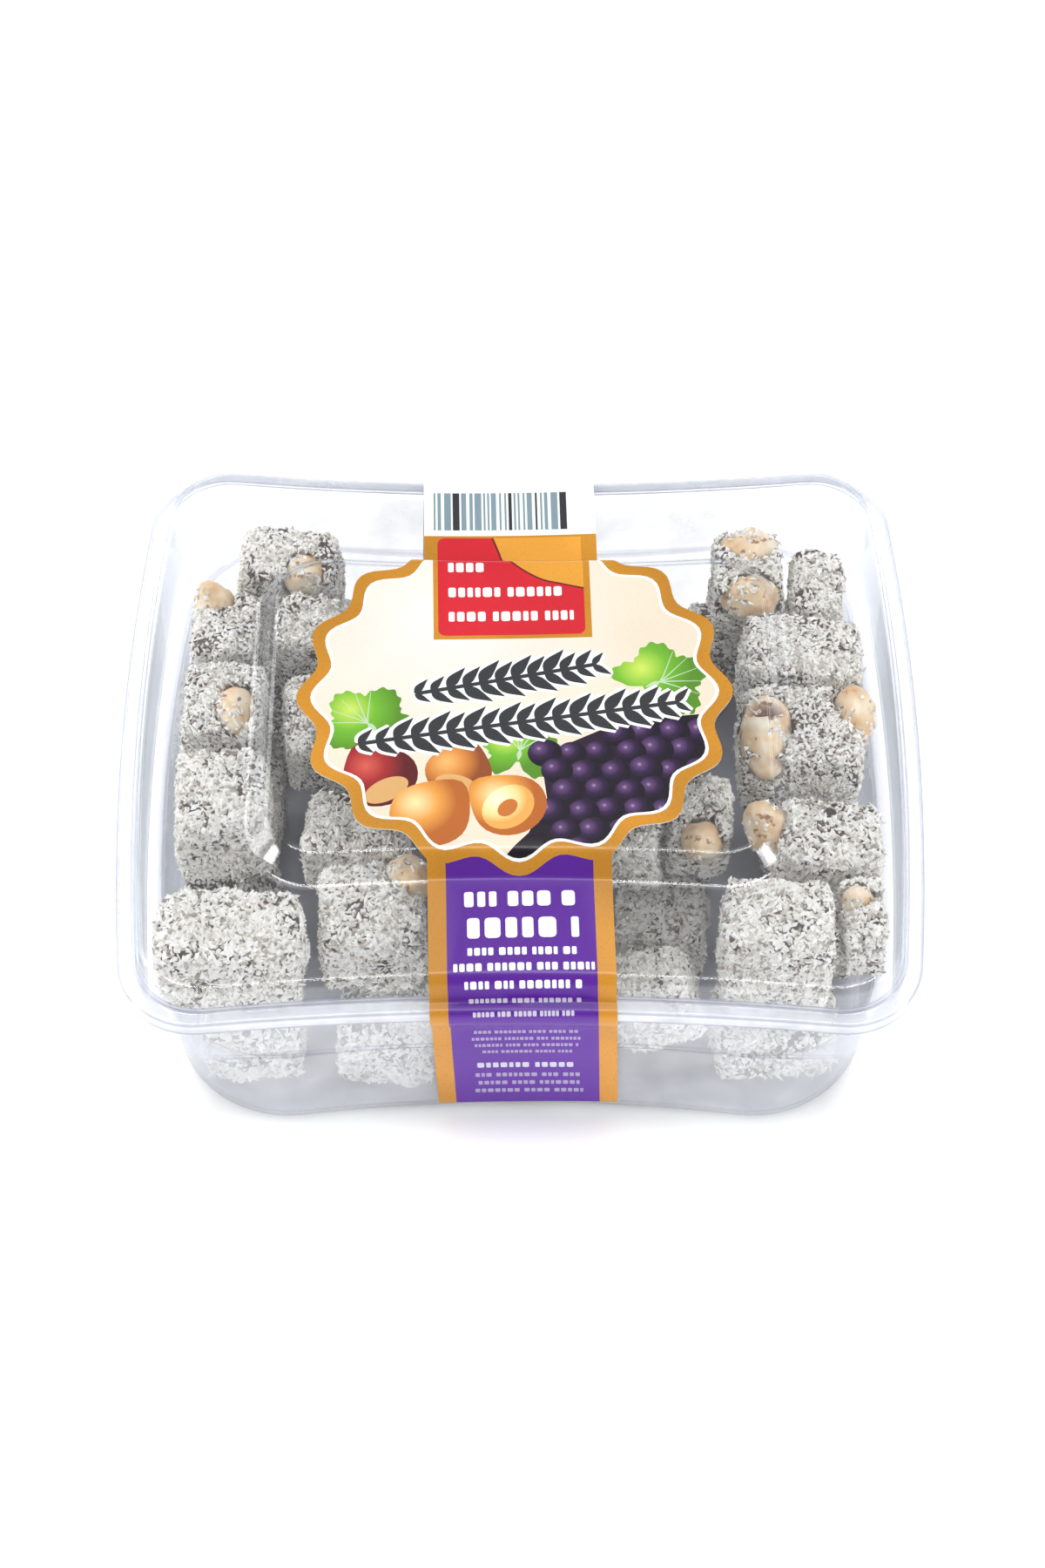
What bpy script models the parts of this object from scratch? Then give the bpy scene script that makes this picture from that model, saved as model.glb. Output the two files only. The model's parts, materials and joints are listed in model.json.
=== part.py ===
"""A shut clear plastic box of coconut-rolled grape jelly cubes with hazelnuts, sealed by a label band."""

import math
import random

import bmesh
import bpy
from mathutils import Euler, Matrix, Vector, noise

# Every size is in millimetres and is turned to metres where a mesh is made.
MM = 0.001

# Plan of the rim: straight corners would lie at half width and half depth.
RIM_HALF_WIDTH = 67.5
RIM_HALF_DEPTH = 59.65
RIM_CORNER = 12.9
FRONT_HOLLOW = 2.7
SIDE_BULGE = 2.3
LONG_SIDE_STEPS = 8
SHORT_SIDE_STEPS = 4
CORNER_STEPS = 6

WALL = 0.6
CLEARANCE = 0.35

# Heights of the closed box.
SHOULDER_HEIGHT = 22.0
FLANGE_HEIGHT = 36.5
LID_TOP = 41.2
PANEL_TOP = 44.8

# Tray stations on its outer face: inset in x, inset in y, corner radius, height.
TRAY_FLANGE_Z = FLANGE_HEIGHT - 2 * WALL - CLEARANCE
TRAY_STATIONS = [
    (0.95, 0.95, 12.0, TRAY_FLANGE_Z),
    (2.9, 2.9, 10.5, TRAY_FLANGE_Z),
    (3.5, 3.3, 11.0, SHOULDER_HEIGHT),
    (6.0, 4.1, 19.0, SHOULDER_HEIGHT - 1.0),
    (7.2, 5.2, 19.0, 2.0),
    (8.4, 6.4, 18.0, 0.0),
]

# Lid stations on its outer face, from the skirt's edge inwards and up.
LID_STATIONS = [
    (0.0, 0.0, RIM_CORNER, FLANGE_HEIGHT - 2.2),
    (0.0, 0.0, RIM_CORNER, FLANGE_HEIGHT - 0.4),
    (0.5, 0.5, 12.4, FLANGE_HEIGHT),
    (2.6, 2.6, 11.0, FLANGE_HEIGHT),
    (2.8, 2.8, 11.0, FLANGE_HEIGHT + 1.0),
    (3.3, 3.3, 11.0, LID_TOP - 0.9),
    (4.3, 4.3, 10.5, LID_TOP),
]

# Raised panel of the lid: half width, half depth, corner radius, hollow of its long sides, height.
PANEL_STATIONS = [
    (45.3, 34.8, 11.5, 1.3, LID_TOP),
    (42.2, 31.9, 9.5, 1.1, PANEL_TOP - 0.5),
    (41.4, 31.1, 9.0, 1.1, PANEL_TOP),
]

# Label band with its scalloped badge, laid flat round its own centre, which lies a little off the panel's.
LABEL_THICKNESS = 0.25
LABEL_TURN = math.radians(1.3)
LABEL_CENTRE_X = -0.9
LABEL_CENTRE_Y = 1.4
BAND_HALF_WIDTH = 15.0
BADGE_RADIUS = 35.2
SCALLOP_HEIGHT = 1.4
SCALLOP_COUNT = 16
SCALLOP_STEPS = 6
BADGE_MEET_GAP = 0.4
LABEL_END_TRIM = 0.5
LABEL_EXTRA_CUTS = (-20.0, -9.0, 9.0, 20.0)

# Folds of the label's underside: on the panel like its stations, and on the rim as inset and height.
PANEL_FOLDS = [
    (42.2, 31.4, 9.5, 1.1, PANEL_TOP),
    (45.3, 34.8, 11.5, 1.3, LID_TOP),
]
RIM_FOLDS = [
    (4.2, LID_TOP + CLEARANCE),
    (3.3 - CLEARANCE, LID_TOP - 0.7),
    (2.6 - CLEARANCE, FLANGE_HEIGHT + CLEARANCE),
    (0.4 - CLEARANCE, FLANGE_HEIGHT + CLEARANCE),
    (-CLEARANCE, FLANGE_HEIGHT - 0.2),
    (-CLEARANCE, FLANGE_HEIGHT - 2.4),
    (3.1 - CLEARANCE, FLANGE_HEIGHT - 8.0),
    (3.3 - CLEARANCE, SHOULDER_HEIGHT),
    (5.2 - CLEARANCE, 2.6),
]

# A jelly cube: how square its corners are, how much they draw in, and the bumps of its coconut coat.
CUBE_SQUARENESS = 13
CORNER_DRAW_IN = 0.022
BUMP_HEIGHT = 1.0
BUMP_PITCH = 2.9
BUMP_SINK = 0.45
FLAKE_SIZE = (4.6, 1.5, 0.8)
FLAKES_PER_PIECE = 3
FLAKE_MARGIN = 3.2
FLAKE_LEAST_RISE = 0.3
UPPER_SEED = 60
NUT_SIDES = 10
NUT_RINGS = 6
NUT_POINT = 0.18
NUT_TAPER = 0.12
POCKET_GAP = 0.4

# Lower layer of jelly cubes: centre x, y, z, width, depth, height, then yaw, lean about x and y in degrees.
LOWER_PIECES = [
    (-44.8, -40.4, 8.9, 18.4, 15.6, 16.4, 2, 0, 0),
    (-22.2, -41.0, 9.5, 17.4, 16.5, 17.6, -3, 0, 0),
    (0.4, -40.0, 8.5, 18.0, 16.0, 15.6, 2, 0, 0),
    (42.6, -40.2, 7.1, 22.2, 15.0, 12.8, 2, 0, 0),
    (-49.3, -18.2, 8.9, 17.0, 19.0, 16.4, 6, 0, 0),
    (-49.6, 3.6, 8.9, 17.0, 18.5, 16.4, -4, 0, 0),
    (-49.0, 24.8, 8.9, 17.5, 18.0, 16.4, 3, 0, 0),
    (-38.6, 43.0, 8.9, 19.5, 12.6, 16.4, -4, 0, 0),
    (50.0, -18.6, 8.9, 16.5, 18.0, 16.4, -5, 0, 0),
    (49.6, 2.6, 8.9, 17.5, 18.5, 16.4, 3, 0, 0),
    (49.4, 23.0, 8.9, 17.5, 16.5, 16.4, -3, 0, 0),
    (40.6, 41.6, 8.9, 22.5, 13.4, 16.4, 3, 0, 0),
    (24.2, -20.6, 8.3, 16.5, 15.5, 15.2, -8, 0, 0),
    (24.0, 30.8, 10.5, 14.5, 17.0, 19.6, 8, 0, 0),
    (-26.6, -14.0, 8.9, 17.0, 17.0, 16.4, 7, 0, 0),
    (-28.4, 8.6, 8.9, 16.5, 18.5, 16.4, -5, 0, 0),
    (-29.8, 29.2, 8.9, 15.5, 15.5, 16.4, 4, 0, 0),
    (25.4, 0.6, 8.9, 16.5, 17.0, 16.4, 4, 0, 0),
    (0.8, -20.2, 8.9, 17.0, 16.5, 16.0, -5, 0, 0),
    (-6.0, 2.6, 8.9, 16.5, 17.5, 16.0, 6, 0, 0),
    (-3.4, 25.0, 8.9, 17.5, 17.0, 16.0, -3, 0, 0),
]

# Upper layer, and the cube that leans in the front right gap.
UPPER_PIECES = [
    (-40.6, 40.6, 28.2, 18.8, 13.2, 18.8, -6, 0, 0),
    (-51.4, 25.8, 27.7, 12.6, 15.2, 18.0, -2, 0, 0),
    (-37.0, 26.6, 27.0, 12.0, 12.4, 17.4, -4, 0, 0),
    (-50.8, 8.8, 27.8, 15.0, 17.0, 18.0, -3, 0, 0),
    (-33.6, 8.4, 26.4, 14.8, 18.2, 15.4, 5, 0, 0),
    (-50.0, -11.0, 27.8, 17.0, 18.4, 18.2, 3, 0, 0),
    (-27.6, -16.0, 26.2, 18.2, 14.4, 14.6, -4, 0, 0),
    (-47.4, -40.8, 30.8, 25.4, 15.8, 17.0, 1, 0, 0),
    (-24.4, -33.8, 27.7, 18.2, 18.0, 16.4, 4, 0, 0),
    (39.9, 37.6, 28.6, 13.2, 17.4, 19.6, 0, 0, 0),
    (52.2, 35.8, 27.4, 10.4, 15.6, 17.2, -2, 0, 0),
    (48.6, 19.7, 28.0, 22.4, 15.0, 18.6, -2, 0, 0),
    (47.9, 2.4, 28.2, 22.6, 18.0, 18.8, -2, 0, 0),
    (30.4, -11.4, 25.2, 11.2, 14.4, 13.2, -3, 0, 0),
    (18.4, -14.2, 24.2, 11.4, 13.4, 12.4, -3, 0, 0),
    (51.4, -19.0, 27.2, 19.2, 14.4, 17.0, -3, 0, 0),
    (56.6, -34.4, 28.2, 7.8, 14.6, 12.6, 2, 0, 0),
    (42.2, -37.2, 26.6, 19.2, 15.4, 23.4, -2, 0, 0),
    (22.0, -41.0, 16.8, 15.8, 14.5, 12.6, 3, 0, -21),
]

# Hazelnuts that show: the piece that holds each, its centre, radius, length ratio, and lean about x and y.
NUTS = [
    ("upper", 1, (-38.0, 37.4, 33.7), 4.1, 1.12, 30, 10),
    ("upper", 2, (-53.6, 31.2, 33.2), 4.0, 1.10, -15, -20),
    ("upper", 4, (-48.8, 7.0, 33.8), 3.7, 1.35, 80, 10),
    ("upper", 9, (-18.6, -27.6, 32.4), 4.6, 1.10, 30, 30),
    ("upper", 10, (40.6, 42.0, 34.5), 4.7, 1.12, 0, -85),
    ("upper", 13, (41.8, 1.8, 33.8), 5.1, 1.50, 99, 0),
    ("upper", 13, (57.2, 5.6, 34.3), 4.0, 1.36, 106, 0),
    ("upper", 14, (30.4, -17.0, 28.7), 3.8, 1.10, 40, -20),
    ("upper", 16, (41.6, -16.4, 31.3), 4.4, 1.12, -20, -30),
    ("upper", 17, (55.6, -31.4, 31.6), 3.1, 1.10, 10, 0),
    ("upper", 10, (40.4, 32.0, 34.0), 4.7, 1.12, 0, -95),
]


def clear_scene():
    for obj in list(bpy.data.objects):
        bpy.data.objects.remove(obj)


def new_collection(name):
    collection = bpy.data.collections.new(name)
    bpy.context.scene.collection.children.link(collection)
    return collection


def make_material(name, colour, roughness, transmission=0.0):
    """A Principled material from a linear colour."""
    material = bpy.data.materials.new(name)
    material.use_nodes = True
    shader = material.node_tree.nodes["Principled BSDF"]
    shader.inputs["Base Color"].default_value = (*colour, 1.0)
    shader.inputs["Roughness"].default_value = roughness
    shader.inputs["Metallic"].default_value = 0.0
    shader.inputs["Transmission Weight"].default_value = transmission
    material.diffuse_color = (*colour, 1.0)
    return material


def parabola(t, reach, height):
    """A point and its slope on a shallow arch over -reach to reach, at t from -1 to 1."""
    return t * reach, height * (1 - t * t), -2 * height * t / reach


def rounded_plan(half_width, half_depth, radius, hollow, bulge):
    """Counter-clockwise plan of a rounded box: hollow front and back, bulging sides, arcs at the corners."""
    core_x = half_width - radius - bulge
    core_y = half_depth - radius
    sides = []
    for quarter in range(4):
        steps = LONG_SIDE_STEPS if quarter % 2 == 0 else SHORT_SIDE_STEPS
        reach, height = (core_x, -hollow) if quarter % 2 == 0 else (core_y, bulge)
        depth = core_y if quarter % 2 == 0 else core_x
        side = []
        for step in range(steps + 1):
            along, arch, slope = parabola(2 * step / steps - 1, reach, height)
            base = Vector((along, -depth - arch))
            outward = Vector((-slope, -1.0)).normalized()
            point = base + outward * radius
            spin = Matrix.Rotation(quarter * math.pi / 2, 2)
            side.append((spin @ base, spin @ point))
        sides.append(side)
    plan = []
    for quarter, side in enumerate(sides):
        plan += [point for _, point in side]
        corner, start = side[-1]
        end = sides[(quarter + 1) % 4][0][1]
        first = math.atan2(start.y - corner.y, start.x - corner.x)
        turn = (math.atan2(end.y - corner.y, end.x - corner.x) - first) % (2 * math.pi)
        for step in range(1, CORNER_STEPS):
            angle = first + turn * step / CORNER_STEPS
            plan.append(corner + radius * Vector((math.cos(angle), math.sin(angle))))
    return plan


def rim_plan(inset_x, inset_y, radius):
    return rounded_plan(
        RIM_HALF_WIDTH - inset_x,
        RIM_HALF_DEPTH - inset_y,
        radius,
        FRONT_HOLLOW,
        SIDE_BULGE,
    )


def panel_plan(half_width, half_depth, radius, hollow):
    return rounded_plan(half_width, half_depth, radius, hollow, 0.0)


def link_mesh(name, mesh, collection, material):
    obj = bpy.data.objects.new(name, mesh)
    collection.objects.link(obj)
    if material:
        mesh.materials.append(material)
    return obj


def loft_shell(name, rings, collection, material):
    """A shell through rings of equal point counts, closed at the last ring and thickened inwards."""
    bm = bmesh.new()
    loops = []
    for plan, height in rings:
        loops.append([bm.verts.new((p.x * MM, p.y * MM, height * MM)) for p in plan])
    for lower, upper in zip(loops, loops[1:]):
        count = len(lower)
        for i in range(count):
            j = (i + 1) % count
            bm.faces.new((lower[i], lower[j], upper[j], upper[i]))
    cap = bm.faces.new(loops[-1])
    bmesh.ops.recalc_face_normals(bm, faces=bm.faces)
    if (cap.normal.z > 0) != (rings[-1][1] > rings[0][1]):
        bmesh.ops.reverse_faces(bm, faces=bm.faces)
    mesh = bpy.data.meshes.new(name)
    bm.to_mesh(mesh)
    bm.free()
    obj = link_mesh(name, mesh, collection, material)
    solidify = obj.modifiers.new("Wall", "SOLIDIFY")
    solidify.thickness = WALL * MM
    solidify.offset = -1.0
    solidify.use_even_offset = True
    return obj


def build_tray(collection):
    material = make_material("clear_tray_plastic", (0.86, 0.89, 0.92), 0.06, 0.9)
    rings = [(rim_plan(x, y, r), z) for x, y, r, z in TRAY_STATIONS]
    return loft_shell("tray", rings, collection, material)


def build_lid(collection):
    material = make_material("clear_lid_plastic", (0.90, 0.93, 0.96), 0.05, 0.9)
    rings = [(rim_plan(x, y, r), z) for x, y, r, z in LID_STATIONS]
    rings += [(panel_plan(w, d, r, h), z) for w, d, r, h, z in PANEL_STATIONS]
    return loft_shell("lid", rings, collection, material)


def front_depth(plan, x):
    """Depth y of a plan's front side at x."""
    side = plan[: LONG_SIDE_STEPS + 1]
    for a, b in zip(side, side[1:]):
        if x <= b.x:
            return a.y + (b.y - a.y) * (x - a.x) / (b.x - a.x)
    return side[-1].y


def label_stations():
    """Plan and height of each fold of the label's underside, from the panel's edge to the foot."""
    gap = CLEARANCE
    stations = []
    for half_width, half_depth, radius, hollow, z in PANEL_FOLDS:
        stations.append((panel_plan(half_width + gap, half_depth + gap, radius, hollow), z + gap))
    for inset, z in RIM_FOLDS:
        stations.append((rim_plan(inset, inset, RIM_CORNER), z))
    return stations


class Drape:
    """Maps a point of the flat label to its place on the closed box."""

    def __init__(self):
        self.stations = label_stations()
        self.lengths = {side: self.fold_lengths(side) for side in (-1, 1)}

    def spot(self, index, x, side):
        """Where the label crosses a station at x, in front for side -1 and behind for side 1."""
        plan, height = self.stations[index]
        return Vector((x, -side * front_depth(plan, x), height))

    def fold_lengths(self, side):
        """Distance along the label from the panel's middle to each fold."""
        spots = [self.spot(i, 0.0, side) for i in range(len(self.stations))]
        lengths = [abs(spots[0].y)]
        for a, b in zip(spots, spots[1:]):
            lengths.append(lengths[-1] + (b - a).length)
        return lengths

    def place(self, x, along):
        """The point on the box at x and at a distance along the label from the panel's middle."""
        side = -1 if along < 0 else 1
        lengths = self.lengths[side]
        reach = min(abs(along), lengths[-1])
        if reach <= lengths[0]:
            edge = self.spot(0, x, side)
            share = reach / lengths[0]
            return Vector((x, edge.y * share, edge.z))
        for i, (a, b) in enumerate(zip(lengths, lengths[1:])):
            if reach <= b:
                start, end = self.spot(i, x, side), self.spot(i + 1, x, side)
                return start.lerp(end, (reach - a) / (b - a))
        return self.spot(len(lengths) - 1, x, side)


def label_outline(front_reach, back_reach):
    """Flat outline of the band and its scalloped badge round the badge's centre, counter-clockwise."""
    meet = math.acos(BAND_HALF_WIDTH / BADGE_RADIUS)
    outline = [Vector((BAND_HALF_WIDTH, -front_reach))]
    steps = round(SCALLOP_COUNT * SCALLOP_STEPS * 2 * meet / (2 * math.pi))
    arc = []
    for step in range(steps + 1):
        angle = -meet + 2 * meet * step / steps
        radius = BADGE_RADIUS + SCALLOP_HEIGHT * math.cos(SCALLOP_COUNT * angle)
        arc.append(Vector((radius * math.cos(angle), radius * math.sin(angle))))
    arc = [p for p in arc if p.x > BAND_HALF_WIDTH + BADGE_MEET_GAP]
    outline += arc
    outline += [Vector((BAND_HALF_WIDTH, back_reach)), Vector((-BAND_HALF_WIDTH, back_reach))]
    outline += [Vector((-p.x, p.y)) for p in reversed(arc)]
    outline.append(Vector((-BAND_HALF_WIDTH, -front_reach)))
    return outline


def build_label(collection):
    material = make_material("printed_label", (0.76, 0.52, 0.22), 0.35)
    drape = Drape()
    centre = Vector((LABEL_CENTRE_X, LABEL_CENTRE_Y))
    reach = drape.lengths[1][-1] - LABEL_END_TRIM
    bm = bmesh.new()
    turn = Matrix.Rotation(LABEL_TURN, 2)
    outline = [centre + turn @ p for p in label_outline(reach + centre.y, reach - centre.y)]
    bm.faces.new([bm.verts.new((p.x, p.y, 0)) for p in outline])
    cuts = [(0, 0.0)]
    cuts += [(1, -length) for length in drape.lengths[-1][:-1]]
    cuts += [(1, length) for length in drape.lengths[1][:-1]]
    cuts += [(0, x) for x in LABEL_EXTRA_CUTS]
    for axis, place in cuts:
        normal = Vector((1, 0, 0)) if axis == 0 else Vector((0, 1, 0))
        geometry = bm.verts[:] + bm.edges[:] + bm.faces[:]
        bmesh.ops.bisect_plane(bm, geom=geometry, plane_co=normal * place, plane_no=normal)
    for vert in bm.verts:
        vert.co = drape.place(vert.co.x, vert.co.y) * MM
    bmesh.ops.triangulate(bm, faces=bm.faces)
    bmesh.ops.recalc_face_normals(bm, faces=bm.faces)
    if sum(face.normal.z for face in bm.faces) < 0:
        bmesh.ops.reverse_faces(bm, faces=bm.faces)
    mesh = bpy.data.meshes.new("label")
    bm.to_mesh(mesh)
    bm.free()
    obj = link_mesh("label", mesh, collection, material)
    solidify = obj.modifiers.new("Paper", "SOLIDIFY")
    solidify.thickness = LABEL_THICKNESS * MM
    solidify.offset = 1.0
    return obj


def lumpy_block(size, cuts, seed):
    """A soft-cornered cube whose faces swell and dent a little, its cuts set by how much of it shows."""
    bm = bmesh.new()
    bmesh.ops.create_cube(bm, size=2.0)
    bmesh.ops.subdivide_edges(bm, edges=bm.edges[:], cuts=cuts, use_grid_fill=True)
    half = Vector(size) / 2
    origin = Vector((seed * 3.7, seed * 1.9, seed * 5.3))
    for vert in bm.verts:
        p = vert.co
        power = CUBE_SQUARENESS
        p = p / (abs(p.x) ** power + abs(p.y) ** power + abs(p.z) ** power) ** (1 / power)
        swell = 1.0 - CORNER_DRAW_IN * (abs(p.x * p.y) + abs(p.y * p.z) + abs(p.z * p.x))
        place = Vector((p.x * half.x, p.y * half.y, p.z * half.z)) * swell
        bump = noise.noise(place / BUMP_PITCH + origin) - BUMP_SINK
        vert.co = place + p.normalized() * bump * BUMP_HEIGHT
    return bm


def bare_polygons(obj, matrix, nuts):
    """Faces that look up, away from every hazelnut of the piece."""
    found = []
    for polygon in obj.data.polygons:
        centre = matrix @ polygon.center / MM
        clear = all((centre - Vector(row[2])).length > row[3] + FLAKE_MARGIN for row in nuts)
        if clear and (matrix.to_3x3() @ polygon.normal).z > FLAKE_LEAST_RISE:
            found.append(polygon)
    return found


def add_flakes(obj, seed, matrix, nuts):
    """Joins a few coarse coconut flakes to the upper faces."""
    draw = random.Random(seed)
    flakes = bpy.data.collections.new("flakes")
    bpy.context.scene.collection.children.link(flakes)
    polygons = bare_polygons(obj, matrix, nuts)
    for polygon in draw.sample(polygons, min(FLAKES_PER_PIECE, len(polygons))):
        bm = bmesh.new()
        bmesh.ops.create_cube(bm, size=1.0)
        length = FLAKE_SIZE[0] * draw.uniform(0.7, 1.0)
        scale = Matrix.Diagonal((length, FLAKE_SIZE[1], FLAKE_SIZE[2], 1.0))
        turn = polygon.normal.to_track_quat("Z", "Y").to_matrix().to_4x4()
        spin = Matrix.Rotation(draw.uniform(0, math.pi), 4, "Z")
        centre = Matrix.Translation(polygon.center / MM)
        bmesh.ops.transform(bm, matrix=centre @ turn @ spin @ scale, verts=bm.verts)
        bmesh.ops.scale(bm, vec=(MM, MM, MM), verts=bm.verts)
        mesh = bpy.data.meshes.new("flake")
        bm.to_mesh(mesh)
        bm.free()
        link_mesh("flake", mesh, flakes, None)
    union = obj.modifiers.new("Flakes", "BOOLEAN")
    union.operation = "UNION"
    union.operand_type = "COLLECTION"
    union.collection = flakes
    union.solver = "EXACT"
    graph = bpy.context.evaluated_depsgraph_get()
    joined = bpy.data.meshes.new_from_object(obj.evaluated_get(graph))
    obj.modifiers.clear()
    obj.data = joined
    for flake in list(flakes.objects):
        bpy.data.objects.remove(flake)
    bpy.data.collections.remove(flakes)


def build_lokum(name, row, cuts, seed, collection, material, nuts=None):
    """One jelly cube; a list of its nuts, even an empty one, asks for flakes as well."""
    x, y, z, width, depth, height, yaw, lean_x, lean_y = row
    bm = lumpy_block((width, depth, height), cuts, seed)
    bmesh.ops.scale(bm, vec=(MM, MM, MM), verts=bm.verts)
    mesh = bpy.data.meshes.new(name)
    bm.to_mesh(mesh)
    bm.free()
    obj = link_mesh(name, mesh, collection, material)
    turn = Euler([math.radians(a) for a in (lean_x, lean_y, yaw)], "XYZ")
    matrix = Matrix.Translation(Vector((x, y, z)) * MM) @ turn.to_matrix().to_4x4()
    if nuts is not None:
        add_flakes(obj, seed, matrix, nuts)
    obj.matrix_world = matrix
    return obj


def nut_mesh(name, radius, ratio):
    """A hazelnut kernel: a ball drawn out to a blunt point at its upper end."""
    bm = bmesh.new()
    bmesh.ops.create_uvsphere(bm, u_segments=NUT_SIDES, v_segments=NUT_RINGS, radius=1.0)
    for vert in bm.verts:
        pull = 1.0 + NUT_POINT * max(vert.co.z, 0.0) ** 4
        taper = 1.0 - NUT_TAPER * max(vert.co.z, 0.0)
        vert.co = Vector((vert.co.x * taper, vert.co.y * taper, vert.co.z * ratio * pull))
        vert.co *= radius * MM
    mesh = bpy.data.meshes.new(name)
    bm.to_mesh(mesh)
    bm.free()
    return mesh


def build_nut(number, row, holders, collection, cutters, material):
    """One kernel, and the pocket that it sits in."""
    layer, index, centre, radius, ratio, lean_x, lean_y = row
    turn = Euler((math.radians(lean_x), math.radians(lean_y), 0.0), "XYZ").to_matrix().to_4x4()
    matrix = Matrix.Translation(Vector(centre) * MM) @ turn
    name = f"hazelnut_{number:02d}"
    nut = link_mesh(name, nut_mesh(name, radius, ratio), collection, material)
    nut.matrix_world = matrix
    pocket = link_mesh(f"pocket_{number:02d}", nut_mesh("pocket", radius + POCKET_GAP, ratio), cutters, None)
    pocket.matrix_world = matrix
    pocket.hide_render = True
    pocket.display_type = "WIRE"
    cut = holders[(layer, index)].modifiers.new("Pocket", "BOOLEAN")
    cut.operation = "DIFFERENCE"
    cut.object = pocket
    cut.solver = "EXACT"
    return nut


def main():
    clear_scene()
    parts = new_collection("hazelnut_grape_lokum_box")
    cutters = new_collection("cutters")
    build_tray(parts)
    build_lid(parts)
    build_label(parts)
    jelly = make_material("coconut_rolled_jelly", (0.62, 0.58, 0.54), 0.85)
    kernel = make_material("hazelnut_kernel", (0.86, 0.60, 0.34), 0.5)
    holders = {}
    for index, row in enumerate(LOWER_PIECES, 1):
        name = f"lokum_lower_{index:02d}"
        holders[("lower", index)] = build_lokum(name, row, 2, index, parts, jelly)
    for index, row in enumerate(UPPER_PIECES, 1):
        name = f"lokum_upper_{index:02d}"
        nuts = [nut for nut in NUTS if nut[:2] == ("upper", index)]
        piece = build_lokum(name, row, 3, UPPER_SEED + index, parts, jelly, nuts)
        holders[("upper", index)] = piece
    for number, row in enumerate(NUTS, 1):
        build_nut(number, row, holders, parts, cutters, kernel)


main()
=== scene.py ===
"""Looks of a shut clear box of coconut-rolled grape jelly with hazelnuts, sealed by a printed band."""

import json
import math
import random

import bmesh
import bpy
import numpy as np
from mathutils import Matrix, Vector
from mathutils.geometry import delaunay_2d_cdt

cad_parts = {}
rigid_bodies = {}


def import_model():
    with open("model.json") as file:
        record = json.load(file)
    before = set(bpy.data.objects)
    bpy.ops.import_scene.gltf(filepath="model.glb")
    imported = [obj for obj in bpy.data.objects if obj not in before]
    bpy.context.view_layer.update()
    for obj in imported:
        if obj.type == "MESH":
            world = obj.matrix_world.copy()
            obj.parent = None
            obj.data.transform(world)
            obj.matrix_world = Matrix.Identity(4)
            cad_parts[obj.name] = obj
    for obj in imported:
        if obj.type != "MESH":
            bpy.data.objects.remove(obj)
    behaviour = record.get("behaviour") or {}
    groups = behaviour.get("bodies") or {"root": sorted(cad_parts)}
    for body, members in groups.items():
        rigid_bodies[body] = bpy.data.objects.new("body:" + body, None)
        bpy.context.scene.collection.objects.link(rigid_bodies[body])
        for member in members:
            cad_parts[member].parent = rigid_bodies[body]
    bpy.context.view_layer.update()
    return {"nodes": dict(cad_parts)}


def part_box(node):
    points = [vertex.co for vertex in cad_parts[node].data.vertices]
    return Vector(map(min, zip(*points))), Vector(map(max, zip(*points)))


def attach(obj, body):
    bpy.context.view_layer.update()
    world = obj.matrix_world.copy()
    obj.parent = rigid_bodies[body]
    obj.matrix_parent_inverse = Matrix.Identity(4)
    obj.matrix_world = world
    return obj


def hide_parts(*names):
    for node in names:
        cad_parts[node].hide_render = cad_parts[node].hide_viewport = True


bl_info = {
    "name": "Lokum box looks",
    "version": (1, 0, 0),
    "blender": (4, 5, 0),
    "location": "3D View > Sidebar > Lokum box",
    "description": "Builds the looks of a clear box of coconut-rolled grape jelly with hazelnuts",
    "category": "Object",
}

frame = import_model()

MM = 0.001

# Plan of the rim in millimetres, as the frame has it, with more points on each side.
RIM_HALF_WIDTH = 67.5
RIM_HALF_DEPTH = 59.55
RIM_CORNER = 12.9
FRONT_HOLLOW = 2.7
SIDE_BULGE = 2.3
LONG_SIDE_STEPS = 24
SHORT_SIDE_STEPS = 12
CORNER_STEPS = 14

# Tray stations on its outer face: inset in x, inset in y, corner radius, height, reach of the rounding there.
TRAY_STATIONS = [
    (0.95, 0.95, 12.0, 34.95, 0.0),
    (2.9, 2.9, 10.5, 34.95, 0.4),
    (3.5, 3.3, 11.0, 22.0, 0.5),
    (6.0, 4.1, 19.0, 21.0, 0.8),
    (7.2, 5.2, 19.0, 2.0, 1.0),
    (8.4, 6.4, 18.0, 0.0, 0.8),
    (11.0, 9.0, 15.5, 0.0, 0.0),
]

# Lid stations on its outer face, from the skirt's edge inwards and up.
LID_STATIONS = [
    (0.0, 0.0, RIM_CORNER, 34.3, 0.0),
    (0.0, 0.0, RIM_CORNER, 36.1, 0.25),
    (0.5, 0.5, 12.4, 36.5, 0.25),
    (2.6, 2.6, 11.0, 36.5, 0.35),
    (2.8, 2.8, 11.0, 37.5, 0.4),
    (3.3, 3.3, 11.0, 40.3, 0.6),
    (4.3, 4.3, 10.5, 41.2, 0.7),
]

# Raised panel of the lid: half width, half depth, corner radius, hollow of its long sides, height, rounding.
PANEL_STATIONS = [
    (45.3, 34.8, 11.5, 1.3, 41.2, 1.0),
    (42.2, 31.9, 9.5, 1.1, 44.3, 0.8),
    (41.4, 31.1, 9.0, 1.1, 44.8, 0.5),
    (38.4, 28.1, 7.0, 1.1, 44.8, 0.0),
]

# The most of a wall that one fold's rounding takes, and its guard ring's reach beside it and most of a wall.
FOLD_SHARE = 0.40
GUARD_REACH = 1.25
GUARD_SHARE = 0.47

# Height in millimetres over which the walls' haze with its painted sheen and their painted shade are given.
WALL_RANGE = 46
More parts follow.
